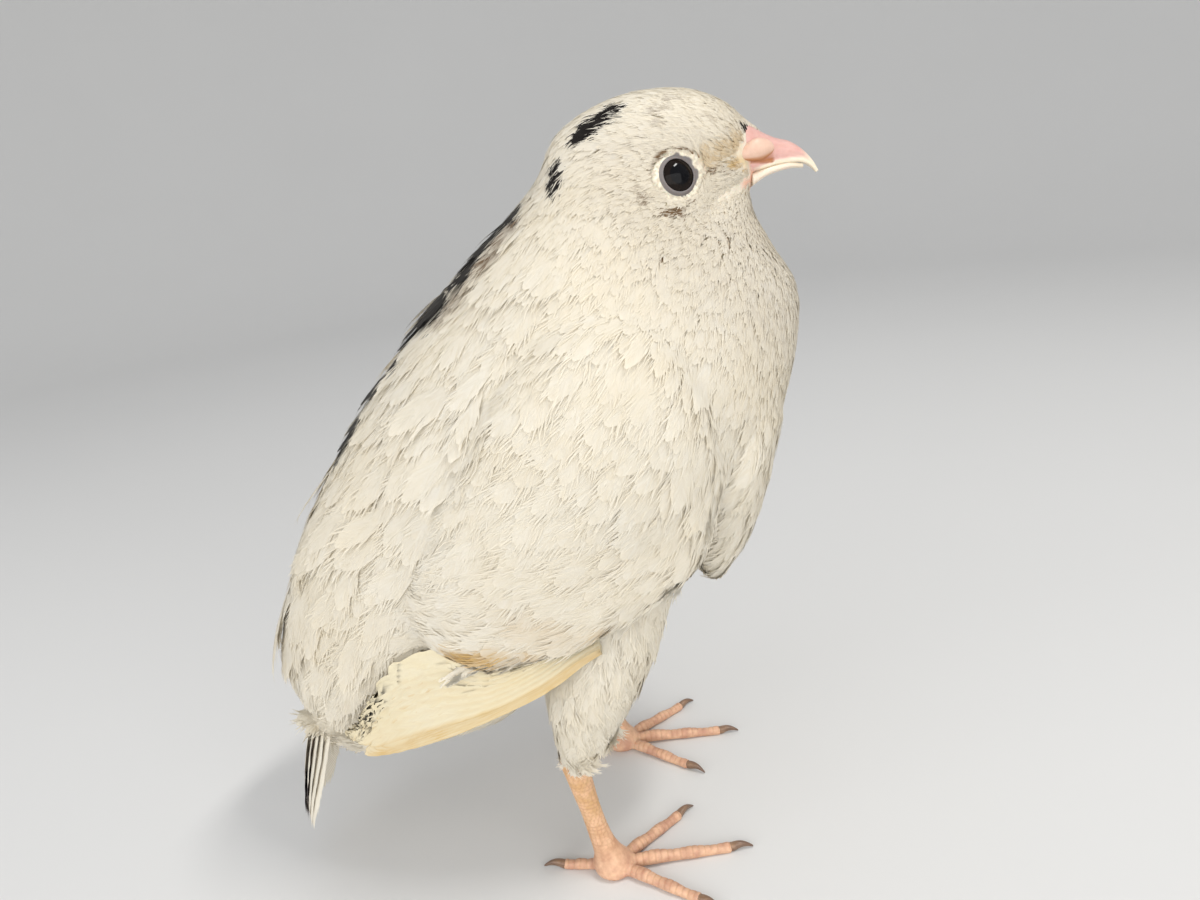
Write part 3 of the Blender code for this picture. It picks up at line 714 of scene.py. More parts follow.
def feather_material(name, light, warm, pitch=0.45, relief=0.7, through=0.35, lie=False):
    """Plumage: fine barbs running forward and outward from the shaft with painted shade in the streaks between them,
    each feather a little its own colour, and the bird's markings.
    """
    k = Nodes(name)
    across, along, rnd = k.split(k.attr("vane").outputs["Vector"])[:3]
    dark, brown, stain = k.split(k.attr("mark").outputs["Vector"])[:3]
    side = k.math("ABSOLUTE", across)
    barb = k.math("SUBTRACT", side, k.math("MULTIPLY", along, 0.38))
    seed = k.math("MULTIPLY", rnd, 61.0)
    fine = k.noise(k.combine(k.math("MULTIPLY", barb, 1.0 / pitch), k.math("MULTIPLY", along, 0.25), seed), 1.0, 2.5, 0.6)
    clump = k.noise(k.combine(k.math("MULTIPLY", barb, 0.8), k.math("MULTIPLY", along, 0.08), seed), 1.0, 2.0, 0.5)
    tone = k.math("ADD", k.math("MULTIPLY", clump, 0.92), k.math("MULTIPLY", rnd, 0.08))
    col = k.mix(k.math("MULTIPLY", k.ramp(tone, [(0.35, 0.0), (0.75, 1.0)]), 0.45), light, warm)
    # painted shade: the troughs between the fine barbs are darkened towards SHADE
    col = k.mix(k.math("MULTIPLY", k.ramp(fine, [(0.36, 1.0), (0.60, 0.0)]), 0.22), col, SHADE)
    wide = k.noise(k.coord(), 48.0, 2.0)
    col = k.mix(k.math("MULTIPLY", k.ramp(wide, [(0.42, 0.0), (0.68, 1.0)]), 0.40), col, warm)
    ragged = k.math("MULTIPLY", k.math("SUBTRACT", fine, 0.5), 0.9)
    col = k.mix(k.math("MULTIPLY", stain, k.math("ADD", 0.75, clump)), col, OCHRE)
    # brown markings towards UMBER, with the painted shade of the lower head and cheek crease carried in the same column
    col = k.mix(k.math("MULTIPLY", brown, k.math("ADD", 0.35, k.ramp(fine, [(0.38, 0.0), (0.62, 1.3)]))), col, UMBER)
    col = k.mix(k.ramp(k.math("ADD", dark, ragged), [(0.36, 0.0), (0.62, 1.0)]), col, BLACK)
    height = k.math("ADD", k.math("MULTIPLY", fine, relief), k.math("MULTIPLY", clump, 0.8))
    normal = None
    if lie:
        # the light falls as on the coat's own surface
        turn = k.t.nodes.new("ShaderNodeVectorTransform")
        turn.vector_type = "NORMAL"
        turn.convert_from, turn.convert_to = "OBJECT", "WORLD"
        k.link(k.attr("lie").outputs["Vector"], turn.inputs[0])
        flat = k.t.nodes.new("ShaderNodeNewGeometry").outputs["True Normal"]
        ops = []
        for op in ("DOT_PRODUCT", "SCALE", "ADD", "NORMALIZE"):
            ops.append(k.t.nodes.new("ShaderNodeVectorMath"))
            ops[-1].operation = op
        k.link(turn.outputs[0], ops[0].inputs[0])
        k.link(flat, ops[0].inputs[1])
        short = k.math("MAXIMUM", k.math("SUBTRACT", 0.35, ops[0].outputs["Value"]), 0.0)
        k.link(flat, ops[1].inputs[0])
        k.link(short, ops[1].inputs["Scale"])
        k.link(turn.outputs[0], ops[2].inputs[0])
        k.link(ops[1].outputs[0], ops[2].inputs[1])
        k.link(ops[2].outputs[0], ops[3].inputs[0])
        normal = ops[3].outputs[0]
    k.bump(height, 0.5, 0.00015, normal)
    rough = k.math("ADD", 0.74, k.math("MULTIPLY", clump, 0.16))
    k.set(Base_Color=col, Roughness=rough)
    k.p.inputs["Specular IOR Level"].default_value = 0.2
    k.p.inputs["Sheen Weight"].default_value = 0.10
    k.p.inputs["Sheen Roughness"].default_value = 0.5
    k.p.inputs["Sheen Tint"].default_value = (1, 0.97, 0.9, 1)
    if through:
        # thin webs let light through
        tr = k.t.nodes.new("ShaderNodeBsdfTranslucent")
        k.link(col, tr.inputs["Color"])
        mixer = k.t.nodes.new("ShaderNodeMixShader")
        mixer.inputs[0].default_value = through
        k.link(k.p.outputs[0], mixer.inputs[1])
        k.link(tr.outputs[0], mixer.inputs[2])
        k.link(mixer.outputs[0], k.t.nodes["Material Output"].inputs["Surface"])
    return k.mat


def skin_material():
    """Skin: downy under the feathers, with the same markings, scaly on the shanks and toes, grey and pale on the lids."""
    k = Nodes("skin")
    dark, brown, stain = k.split(k.attr("mark").outputs["Vector"])[:3]
    leg, lid, gape = k.split(k.attr("bare").outputs["Vector"])[:3]
    at = k.coord()
    fine = k.noise(at, 900.0, 3.0, 0.6)
    wide = k.noise(at, 60.0, 2.0)
    down = k.mix(k.ramp(fine, [(0.35, 0.0), (0.7, 1.0)]), (0.70, 0.63, 0.51), (0.80, 0.74, 0.63))
    down = k.mix(k.math("MULTIPLY", k.ramp(wide, [(0.42, 0.0), (0.7, 1.0)]), 0.4), down, CREAM)
    down = k.mix(stain, down, OCHRE)
    # brown markings towards UMBER, with the painted shade of the lower head and cheek crease carried in the same column
    down = k.mix(brown, down, UMBER)
    down = k.mix(dark, down, BLACK)
    groove = k.attr("groove").outputs["Fac"]
    z = k.split(at)[2]
    tarsus = k.mix(k.ramp(k.math("MULTIPLY", z, 38.0), [(0.05, 0.0), (0.6, 1.0)]), (0.52, 0.28, 0.19), (0.60, 0.36, 0.17))
    blotch = k.noise(at, 420.0, 3.0, 0.6)
    tarsus = k.mix(k.ramp(blotch, [(0.35, 0.0), (0.7, 1.0)]), tarsus, (0.78, 0.50, 0.32))
    tarsus = k.mix(k.math("MULTIPLY", groove, 0.42), tarsus, (0.40, 0.19, 0.10))
    col = k.mix(leg, down, tarsus)
    pale = k.mix(k.ramp(k.noise(at, 1500.0, 2.0), [(0.4, 0.0), (0.62, 1.0)]), (0.60, 0.53, 0.42), (0.82, 0.76, 0.62))
    col = k.mix(k.ramp(lid, [(0.05, 0.0), (0.3, 1.0)]), col, pale)
    col = k.mix(k.ramp(lid, [(0.62, 0.0), (0.78, 1.0)]), col, (0.19, 0.17, 0.165))
    col = k.mix(gape, col, (0.70, 0.40, 0.29))
    height = k.math("ADD", k.math("MULTIPLY", fine, 0.5), k.math("MULTIPLY", k.noise(at, 2600.0, 2.0), 0.35))
    k.bump(height, 0.5, 0.00015)
    rough = k.math("SUBTRACT", 0.85, k.math("MULTIPLY", leg, 0.36))
    k.set(Base_Color=col, Roughness=rough)
    k.p.inputs["Specular IOR Level"].default_value = 0.4
    k.p.inputs["Subsurface Weight"].default_value = 0.12
    k.p.inputs["Subsurface Radius"].default_value = (1.0, 0.45, 0.25)
    k.p.inputs["Subsurface Scale"].default_value = 0.0008
    return k.mat


def horn_material(name, mode):
    k = Nodes(name)
    at = k.coord()
    x, y, z = k.split(at)[:3]
    fine = k.noise(at, 700.0, 4.0, 0.6)
    streak = k.noise(k.combine(k.math("MULTIPLY", x, 0.25), y, z), 1400.0, 3.0, 0.6)
    if mode == "bill":
        edge, tip, nostril = k.split(k.attr("zone").outputs["Vector"])[:3]
        base = k.mix(k.ramp(fine, [(0.3, 0.0), (0.75, 1.0)]), (0.60, 0.32, 0.28), (0.68, 0.41, 0.36))
        base = k.mix(k.math("MULTIPLY", k.ramp(streak, [(0.4, 0.0), (0.7, 1.0)]), 0.45), base, (0.60, 0.36, 0.30))
        base = k.mix(edge, base, (0.86, 0.78, 0.62))
        base = k.mix(tip, base, (0.80, 0.70, 0.54))
        # the nostril slit, darkened orange-brown with painted shade under the flap
        base = k.mix(nostril, base, (0.42, 0.16, 0.06))
        k.set(Base_Color=base, Roughness=k.math("ADD", 0.30, k.math("MULTIPLY", fine, 0.2)))
        k.bump(k.math("ADD", streak, k.math("MULTIPLY", fine, 0.5)), 0.35, 0.00008)
    elif mode == "flap":
        base = k.mix(k.ramp(fine, [(0.3, 0.0), (0.7, 1.0)]), (0.62, 0.40, 0.30), (0.70, 0.48, 0.37))
        # the underside is darker orange-brown: partly the flap's own edge colour, partly painted shade under the flap
        low = k.attr("low").outputs["Fac"]
        base = k.mix(low, base, (0.45, 0.17, 0.05))
        k.set(Base_Color=base, Roughness=k.math("ADD", 0.42, k.math("MULTIPLY", fine, 0.2)))
        k.bump(fine, 0.4, 0.0001)
    else:
        t = k.attr("tipward").outputs["Fac"]
        base = k.mix(k.ramp(fine, [(0.35, 0.0), (0.7, 1.0)]), (0.20, 0.115, 0.07), (0.33, 0.20, 0.12))
        base = k.mix(k.math("MULTIPLY", t, 0.7), base, (0.09, 0.055, 0.04))
        k.set(Base_Color=base, Roughness=k.math("ADD", 0.28, k.math("MULTIPLY", streak, 0.2)))
        k.bump(streak, 0.4, 0.0001)
    k.p.inputs["Subsurface Weight"].default_value = 0.1
    k.p.inputs["Subsurface Radius"].default_value = (1.0, 0.4, 0.25)
    k.p.inputs["Subsurface Scale"].default_value = 0.0008
    k.p.inputs["Coat Weight"].default_value = 0.15
    k.p.inputs["Coat Roughness"].default_value = 0.25
    return k.mat


def eye_material():
    k = Nodes("eye")
    r = k.attr("iris").outputs["Fac"]
    at = k.coord()
    fibre = k.noise(at, 2400.0, 3.0, 0.6)
    iris = k.mix(k.ramp(fibre, [(0.35, 0.0), (0.7, 1.0)]), (0.007, 0.005, 0.004), (0.014, 0.009, 0.007))
    col = k.mix(k.ramp(r, [(0.52, 0.0), (0.58, 1.0)]), (0.004, 0.004, 0.005), iris)
    col = k.mix(k.ramp(r, [(0.93, 0.0), (1.0, 1.0)]), col, (0.012, 0.010, 0.010))
    k.set(Base_Color=col, Roughness=k.math("ADD", 0.04, k.math("MULTIPLY", fibre, 0.03)))
    k.p.inputs["IOR"].default_value = 1.42
    k.p.inputs["Specular IOR Level"].default_value = 0.15
    return k.mat


def tail_material():
    k = Nodes("tail_feathers")
    across, along, rnd = k.split(k.attr("vane").outputs["Vector"])[:3]
    pat, tip, _ = k.split(k.attr("mark").outputs["Vector"])[:3]
    side = k.math("ABSOLUTE", across)
    slant = k.math("SUBTRACT", along, k.math("MULTIPLY", side, 0.9))
    barbs = k.math("ADD", k.math("MULTIPLY", k.math("SINE", k.math("MULTIPLY", slant, 6.2832 / 0.42)), 0.5), 0.5)
    clump = k.noise(k.combine(k.math("MULTIPLY", slant, 1.3), k.math("MULTIPLY", side, 0.3), k.math("MULTIPLY", rnd, 41.0)), 1.0, 3.0, 0.6)
    pale = k.mix(clump, WHITE, CREAM)
    bar = k.math("ADD", pat, k.math("MULTIPLY", k.math("SUBTRACT", clump, 0.5), 0.7))
    col = k.mix(k.ramp(bar, [(0.42, 0.0), (0.60, 1.0)]), pale, (0.030, 0.029, 0.034))
    col = k.mix(k.ramp(k.math("ADD", tip, k.math("MULTIPLY", k.math("SUBTRACT", clump, 0.5), 0.5)), [(0.4, 0.0), (0.7, 1.0)]), col, (0.36, 0.15, 0.06))
    # painted shade in the grooves between the barbs
    col = k.mix(k.math("MULTIPLY", k.math("SUBTRACT", 1.0, barbs), 0.2), col, (0.12, 0.08, 0.05))
    k.bump(k.math("ADD", k.math("MULTIPLY", barbs, 0.7), clump), 0.5, 0.00012)
    k.set(Base_Color=col, Roughness=k.math("ADD", 0.6, k.math("MULTIPLY", clump, 0.2)))
    k.p.inputs["Specular IOR Level"].default_value = 0.3
    return k.mat


def floor_material():
    k = Nodes("floor")
    at = k.coord()
    n = k.noise(at, 3.0, 3.0)
    col = k.mix(n, (0.68, 0.677, 0.67), (0.72, 0.717, 0.71))
    k.set(Base_Color=col, Roughness=0.9)
    k.p.inputs["Specular IOR Level"].default_value = 0.1
    return k.mat


# ---------------------------------------------------------------- the guide surface
JAW = ((30.0, 5.6, 123.8), (25.0, 9.2, 121.9), (20.7, 13.7, 119.1), (15.0, 19.4, 116.7), (9.9, 21.9, 115.6))


FOLDS = (
    # (from, to, depth, width): where the wing parts from the plumage of the back and breast
    ((-12.5, 31.7, 83.0), (-20.5, 29.4, 72.5), 1.0, 1.5),
    ((-20.5, 29.4, 72.5), (-30.0, 27.2, 61.0), 1.3, 1.7),
    ((1.7, 21.2, 117.8), (8.0, 25.5, 108.5), 0.5, 1.8),
    ((14.5, 27.0, 97.0), (20.0, 24.5, 82.0), 0.5, 1.6),
)


def fold_depth(P):
    out = np.zeros(len(P))
    for side, _ in SIDES_OF:
        for a, b, deep, wide in FOLDS:
            d, _t = segment_distance(P, (a[0], side * a[1], a[2]), (b[0], side * b[1], b[2]))
            out += deep * np.exp(-((d / wide) ** 2))
    return out


def thigh_parts(side, grow=0.0, sides=40):
    dx = 0.0 if side < 0 else LEFT_FORWARD
    return loft(limb_rings(THIGH, side, 46, sides, dx, grow))


def guide_parts():
    """The outline of the coat, as closed shapes."""
    parts = [loft(ring_body(np.arange(0, 17.01, 0.1), 0.0))]
    # a low tongue of short feathers on the base of the culmen
    tongue = [
        body(s, np.linspace(0, 360, 36, endpoint=False), -0.9) * 0
        + np.stack(
            [
                np.full(36, x) + 0.0,
                w * np.sin(np.linspace(0, 2 * np.pi, 36, endpoint=False)),
                z + 1.2 * np.cos(np.linspace(0, 2 * np.pi, 36, endpoint=False)),
            ],
            -1,
        )
        for s, x, z, w in ((17, 29.5, 134.2, 3.4), (17, 31.6, 133.2, 3.2), (17, 33.2, 131.9, 2.5), (17, 34.6, 130.75, 1.5), (17, 35.3, 130.2, 0.5))
    ]
    parts.append(loft(tongue))
    for side, _ in SIDES_OF:
        inner, outer = wing_sheets(WING, side, 26, 44, WING_THICK, 0.9)
        sink = np.linspace(1, 0, 26)[None, :] ** 0.6 * 1.3 + 0.2
        inner[..., 1] -= side * sink
        parts.append(grid_slab(inner, outer))
        inner, outer = lobe_sheets(side, lower=1.6)
        parts.append(grid_slab(inner, outer))
        parts.append(thigh_parts(side))
    return parts


class Surface:
    """A relaxed surface that answers nearest-point questions, with numbers kept at its vertices."""

    def __init__(self, verts, faces):
        self.v, self.faces = verts, faces
        self.q = corner_array(faces)
        self.e = edges_of([list(f) for f in faces])
        self.n = vertex_normals(self.v, self.q)
        self.fields = {}

    def freeze(self):
        self.n = vertex_normals(self.v, self.q)
        self.sn = unit(relax(self.n, self.e, 4))
        self.tree = BVHTree.FromPolygons(self.v.tolist(), self.faces)

    def find(self, P):
        loc = np.empty((len(P), 3))
        idx = np.empty(len(P), np.int64)
        near = self.tree.find_nearest
        for i, p in enumerate(P.tolist()):
            r = near(p)
            loc[i] = r[0]
            idx[i] = r[2]
        return loc, idx

    def at(self, name, idx, loc=None):
        f = self.fields[name] if isinstance(name, str) else name
        q = self.q[idx]
        if loc is None:
            return f[q].mean(axis=1)
        w = 1.0 / (np.linalg.norm(self.v[q] - loc[:, None], axis=2) + 0.05)
        w /= w.sum(axis=1, keepdims=True)
        return np.einsum("nk,nk...->n...", w, f[q])


def pinch(v):
    """The face narrows to the root of the bill, where the nasal flaps lie."""
    want = np.interp(v[:, 0], [22.0, 25.0, 27.0, 29.0, 31.4, 34.0], [1.0, 0.97, 0.90, 0.80, 0.84, 0.95])
    near = np.exp(-(((v[:, 2] - 128.2) / 3.2) ** 2)) * smooth(22.0, 26.0, v[:, 0])
    v[:, 1] *= 1 + (want - 1) * near
    return v


def make_guide():
    v, f = voxel(guide_parts(), 0.85)
    v = pinch(v)
    g = Surface(v, f)
    g.v = relax(g.v, g.e, 4, 0.6)
    # the cheek stands over the throat along a crease, and the coat lies in soft uneven lumps
    n = vertex_normals(g.v, g.q)
    face = smooth(48, 30, np.linalg.norm(g.v - BILL_ROOT, axis=1))
    push = np.zeros(len(g.v))
    for side, _ in SIDES_OF:
        best = np.full(len(g.v), 1e9)
        for a, b in zip(JAW[:-1], JAW[1:]):
            d, _t = segment_distance(g.v, (a[0], side * a[1], a[2]), (b[0], side * b[1], b[2]))
            best = np.minimum(best, d)
        push -= 0.75 * np.exp(-((best / 1.3) ** 2))
    push -= fold_depth(g.v)
    lump = value_noise(g.v, 9.0, 1) * 0.5 + value_noise(g.v, 4.5, 2) * 0.2
    push += lump * (0.55 * (1 - face) + 0.15 * face)
    g.v = g.v + n * push[:, None]
    g.v = relax(g.v, g.e, 1, 0.4)
    g.freeze()
    return g


def label_fields(g):
    """Which part of the bird each vertex of the guide belongs to, which way its feathers lie, and how large they are."""
    v = g.v
    s, turn = station(v)
    ahead = body(s - 0.06, turn) - body(s + 0.06, turn)
    # near the bill the feathers lie away from it
    away = v - BILL_ROOT
    dist = np.linalg.norm(away, axis=1)
    w_head = smooth(46, 20, dist)[:, None]
    flow = unit(ahead) * (1 - w_head) + unit(away) * w_head
    # below the head they bend down the neck and over the breast
    wing = np.zeros(len(v))
    thigh = np.zeros(len(v))
    lobe = np.zeros(len(v))
    for side, _ in SIDES_OF:
        here = v[:, 1] * side > 4
        inner, outer = wing_sheets(WING, side, 26, 44, WING_THICK, 0.9)
        tree = BVHTree.FromPolygons(*[x.tolist() if hasattr(x, "tolist") else x for x in grid_slab(inner, outer)])
        li, lo = lobe_sheets(side)
        ltree = BVHTree.FromPolygons(*[x.tolist() if hasattr(x, "tolist") else x for x in grid_slab(li, lo)])
        tv, tf = thigh_parts(side)
        ttree = BVHTree.FromPolygons(tv.tolist(), tf)
        d_body = np.linalg.norm(v - body(s, turn), axis=1)
        for i in np.nonzero(here)[0]:
            p = v[i].tolist()
            dw = tree.find_nearest(p)[3]
            dl = ltree.find_nearest(p)[3]
            dt = ttree.find_nearest(p)[3]
            if dw < 1.1:
                wing[i] = 1
            elif dl < 1.0 and d_body[i] > 1.2:
                lobe[i] = 1
            elif dt < 1.1 and d_body[i] > 0.8:
                thigh[i] = 1
    hard = {"wing": wing.copy(), "thigh": thigh.copy(), "lobe": lobe.copy()}
    wing_s = relax(wing, g.e, 3)
    thigh_s = relax(thigh, g.e, 4)
    lobe_s = relax(lobe, g.e, 3)
    # how far down the wing a point lies
    down = np.clip((105 - v[:, 2] - 0.35 * (v[:, 0] + 4)) / 50, 0, 1)
    wf = np.stack([-0.62 - 0.25 * down, np.zeros(len(v)), -0.78 + 0.30 * down], -1)
    tf = np.stack([np.full(len(v), -0.22), np.zeros(len(v)), np.full(len(v), -1.0)], -1)
    edge = catmull([[l[0], l[1]] for _, l, _ in WING], np.linspace(0, 5, 60))
    tang = unit(np.gradient(edge, axis=0))
    d2 = np.linalg.norm(v[:, None, [0, 2]] - edge[None], axis=2)
    ix = np.argmin(d2, axis=1)
    by_edge = np.exp(-((d2[np.arange(len(v)), ix] / 13.0) ** 2))[:, None]
    wf = unit(wf) * (1 - by_edge) + np.stack([tang[ix, 0], np.zeros(len(v)), tang[ix, 1]], -1) * by_edge
    flow = flow * (1 - wing_s)[:, None] + unit(wf) * wing_s[:, None]
    flow = flow * (1 - thigh_s)[:, None] + unit(tf) * thigh_s[:, None]
    n = g.sn
    # the short feathers part round the lids
    for side, _ in SIDES_OF:
        c, en, eu, ew = eye_axes(side)
        p = v - c
        r = p - (p @ en)[:, None] * en
        rd = np.linalg.norm(r, axis=1)
        w = (smooth(8.0, 4.6, rd) * (v[:, 1] * side > 0) * (p @ en > -1))[:, None]
        ring = unit(r)
        inward = np.minimum(dot(flow, ring), 0.15)[:, None]
        flow = flow - w * (inward - 0.15) * ring
    flow = unit(flow - n * dot(flow, n)[:, None])
    flow = unit(relax(flow, g.e, 3))
    flow = unit(flow - n * dot(flow, n)[:, None])
    eye = np.array(EYE_AT)
    d_eye = np.minimum(
        np.linalg.norm(v - eye * (1, -1, 1), axis=1), np.linalg.norm(v - eye, axis=1)
    )
    knots = [0, 8, 14, 22, 34, 50, 75]
    length = np.interp(dist, knots, [1.6, 2.1, 2.9, 4.3, 7.0, 10.0, 12.5])
    width = np.interp(dist, knots, [0.42, 0.58, 0.90, 1.50, 2.6, 4.0, 5.0])
    space = np.interp(dist, knots, [0.41, 0.48, 0.66, 0.95, 1.42, 1.90, 2.25])
    near_eye = smooth(8.5, 4.5, d_eye)
    length = length * (1 - near_eye) + 1.35 * near_eye
    width = width * (1 - near_eye) + 0.42 * near_eye
    space = space * (1 - near_eye) + 0.40 * near_eye
    for w, (l, wd, sp) in ((wing_s, (9.0, 4.6, 2.0)), (lobe_s, (8.5, 3.4, 1.6))):
        length = length * (1 - w) + l * w
        width = width * (1 - w) + wd * w
        space = space * (1 - w) + sp * w
    low = np.clip((v[:, 2] - 28) / 26, 0, 1)
    length = length * (1 - thigh_s) + (4.2 + 3.6 * low) * thigh_s
    width = width * (1 - thigh_s) + (1.3 + 1.3 * low) * thigh_s
    space = space * (1 - thigh_s) + (0.85 + 0.6 * low) * thigh_s
    rump = smooth(14, 4, np.linalg.norm(v - np.array([-62, 0, 33.0]), axis=1) * 0.5)
    length *= 1 - 0.12 * rump
    width *= 1 - 0.35 * rump
    space *= 1 - 0.28 * rump
    # narrow feathers, close together, where the coat bends sharply over an edge
    a, b = g.e[:, 0], g.e[:, 1]
    turnrate = np.linalg.norm(g.n[a] - g.n[b], axis=1) / np.maximum(np.linalg.norm(v[a] - v[b], axis=1), 0.2)
    sharp = np.zeros(len(v))
    np.maximum.at(sharp, a, turnrate)
    np.maximum.at(sharp, b, turnrate)
    sharp = relax(sharp, g.e, 3) * (wing_s + lobe_s > 0.05)
    width = np.minimum(width, np.maximum(1.25 / np.maximum(sharp, 0.05), 0.9))
    space = np.minimum(space, np.maximum(0.85 / np.maximum(sharp, 0.05), 0.75))
    g.fields.update(
        flow=flow, length=length, width=width, space=space, s=s, turn=turn, dist=dist,
        wing=hard["wing"], thigh=hard["thigh"], lobe=hard["lobe"], wing_s=wing_s, thigh_s=thigh_s, lobe_s=lobe_s, d_eye=d_eye,
    )


# ---------------------------------------------------------------- skin
def eye_axes(side):
    n = unit(np.array([EYE_AIM[0], side * EYE_AIM[1], EYE_AIM[2]]))
    u = unit(np.array([1.0, 0.0, 0.12]) - n * dot(np.array([1.0, 0.0, 0.12]), n))
    w = np.cross(n, u) * (1 if side > 0 else -1)
    w = w if w[2] > 0 else -w
    return np.array([EYE_AT[0], side * EYE_AT[1], EYE_AT[2]]), n, u, w


LID = (
    # (radius, height over the middle of the eyeball, bead)
    (5.3, 0.2, 0.0),
    (4.9, 1.05, 0.0),
    (4.5, 1.75, 0.1),
    (4.15, 2.35, 0.4),
    (3.90, 2.78, 1.0),
    (3.65, 3.06, 1.0),
    (3.44, 3.16, 0.6),
    (3.32, 3.16, 0.1),
    (3.20, 3.33, 0.2),
    (3.02, 3.53, 0.2),
    (2.84, 3.66, 0.1),
    (2.72, 3.66, 0.0),
    (2.66, 3.52, 0.0),
    (2.60, 3.2, 0.0),
    (2.4, 1.2, 0.0),
    (2.2, 0.2, 0.0),
)


def lid_solid(side):
    c, n, u, w = eye_axes(side)
    count = 120
    a = np.linspace(0, 2 * np.pi, count, endpoint=False)
    rings = []
    for r, h, bead in LID:
        oval = 1 + 0.045 * np.cos(2 * a) * smooth(3.1, 3.9, r)
        wave = 0.5 + 0.5 * np.cos(a * 34 + 1.3 * np.sin(a * 3))
        rr = r * oval + bead * 0.10 * (wave - 0.5)
        hh = h + bead * 0.13 * (wave - 0.4)
        # the upper lid stands a little further over the eye, and comes to a soft corner in front and behind
        hh = hh + 0.10 * smooth(2.5, 3.6, r) * np.clip(np.sin(a), 0, 1)
        rings.append(c + rr[:, None] * (np.cos(a)[:, None] * u + np.sin(a)[:, None] * w) + hh[:, None] * n)
    verts = np.vstack(rings)
    m = len(rings)
    faces = []
    for i in range(m):
        for j in range(count):
            faces.append((i * count + j, i * count + (j + 1) % count, ((i + 1) % m) * count + (j + 1) % count, ((i + 1) % m) * count + j))
    return verts, faces


def ball(c, r, lon=64, lat=40):
    verts = [c + r * np.array([math.sin(p) * math.cos(q), math.sin(p) * math.sin(q), math.cos(p)]) for p in np.pi * np.arange(1, lat) / lat for q in 2 * np.pi * np.arange(lon) / lon]
    faces = [(i * lon + j, i * lon + (j + 1) % lon, (i + 1) * lon + (j + 1) % lon, (i + 1) * lon + j) for i in range(lat - 2) for j in range(lon)]
    verts += [c + np.array([0, 0, r]), c - np.array([0, 0, r])]
    k = len(verts)
    faces += [(k - 2, (j + 1) % lon, j) for j in range(lon)]
    faces += [(k - 1, (lat - 2) * lon + j, (lat - 2) * lon + (j + 1) % lon) for j in range(lon)]
    return np.array(verts), faces


def leg_solid(side):
    """One shank with its toes, grown together and carrying its scales."""
    dx = 0.0 if side < 0 else LEFT_FORWARD
    foot = (FOOT_X + dx, side * FOOT_Y)
    upper = np.array([[-12.2 + dx, side * 20.3, 31.0]])
    rows = (((-11.9, 20.3, 31.5), 2.2, 2.1),) + SHANK
    parts = [loft(limb_rings(rows, side, 110, 40, dx, floor=0.0))]
    lines = []
    for name, yaw, start, length, radius in TOES:
        turn = math.radians(-side * yaw)
        parts.append(loft(toe_rings(foot, turn, start - 3.0, length + 3.0, radius, 28, 90, 0.95)))
        lines.append((turn, start, length, radius))
    v, f = voxel(parts, 0.27)
    s = Surface(v, f)
    s.v = relax(s.v, s.e, 3, 0.5)
    s.v[:, 2] = np.where(v[:, 2] < 0.14, 0.0, s.v[:, 2])
    n = vertex_normals(s.v, s.q)
    axis = catmull([[c[0] + dx, side * c[1]] for c, _, _ in rows], np.interp(-s.v[:, 2], [-c[2] for c, _, _ in rows], range(len(rows))))
    phi = np.arctan2(s.v[:, 1] - axis[:, 1], s.v[:, 0] - axis[:, 0])
    r = np.hypot(s.v[:, 0] - axis[:, 0], s.v[:, 1] - axis[:, 1])
    up = smooth(5.0, 8.5, s.v[:, 2])
    # hexagonal scales round the shank, larger in front
    around = 13
    row = s.v[:, 2] / 0.86
    uu = phi / (2 * np.pi) * around
    best = np.full(len(v), 9.0)
    second = np.full(len(v), 9.0)
    for k in (-1, 0, 1):
        rk = np.floor(row) + k
        shift = 0.5 * (rk % 2)
        for m in (-1, 0, 1, 2):
            cu = np.floor(uu - shift) + m + shift
            j1 = 0.22 * np.sin(cu * 12.9 + rk * 78.2)
            j2 = 0.22 * np.sin(cu * 37.7 + rk * 15.3)
            d = np.hypot((uu - cu - j1) * 1.05, (row - rk - 0.5 - j2) * 1.0)
            second = np.where(d < best, best, np.minimum(second, d))
            best = np.minimum(best, d)
    seam = 1 - smooth(0.04, 0.30, second - best)
    groove = seam * up
    # scutes across the toes, and small knobs at their sides
    p = s.v[:, :2] - np.array(foot)
    toe_groove = np.zeros(len(v))
    near = np.full(len(v), 9.0)
    for turn, start, length, radius in lines:
        along = p @ np.array([math.cos(turn), math.sin(turn)])
        off = p @ np.array([-math.sin(turn), math.cos(turn)])
        mine = (np.abs(off) < near) & (along > 2.5) & (along < start + length + 1)
        top = smooth(0.45, 1.1, s.v[:, 2] / radius)
        g1 = 1 - smooth(0.03, 0.17, np.abs(((along / 1.22) % 1) - 0.5) * 1.0)
        knob = 0.5 + 0.5 * np.cos(along * 9.0) * np.cos(s.v[:, 2] * 9.0)
        val = g1 * top + (1 - top) * knob * 0.35
        toe_groove = np.where(mine, val * smooth(2.6, 4.5, along), toe_groove)
        near = np.where(mine, np.abs(off), near)
    groove = np.maximum(groove, toe_groove * smooth(7.0, 4.5, s.v[:, 2]))
    lift = smooth(0.25, 0.7, s.v[:, 2])
    s.v = s.v + n * ((0.03 - 0.11 * groove) * lift)[:, None]
    return s.v, [list(x) for x in s.faces], groove


def boolean(a, b, op):
    m = a.modifiers.new("join", "BOOLEAN")
    m.operation = op
    m.solver = "MANIFOLD"
    m.object = b
    bpy.context.view_layer.update()
    dg = bpy.context.evaluated_depsgraph_get()
    me = bpy.data.meshes.new_from_object(a.evaluated_get(dg))
    ok = len(me.polygons) > 0.5 * len(a.data.polygons)
    if not ok:
        m.solver = "EXACT"
        bpy.context.view_layer.update()
        dg = bpy.context.evaluated_depsgraph_get()
        me = bpy.data.meshes.new_from_object(a.evaluated_get(dg))
    a.modifiers.remove(m)
    a.data = me
    return a


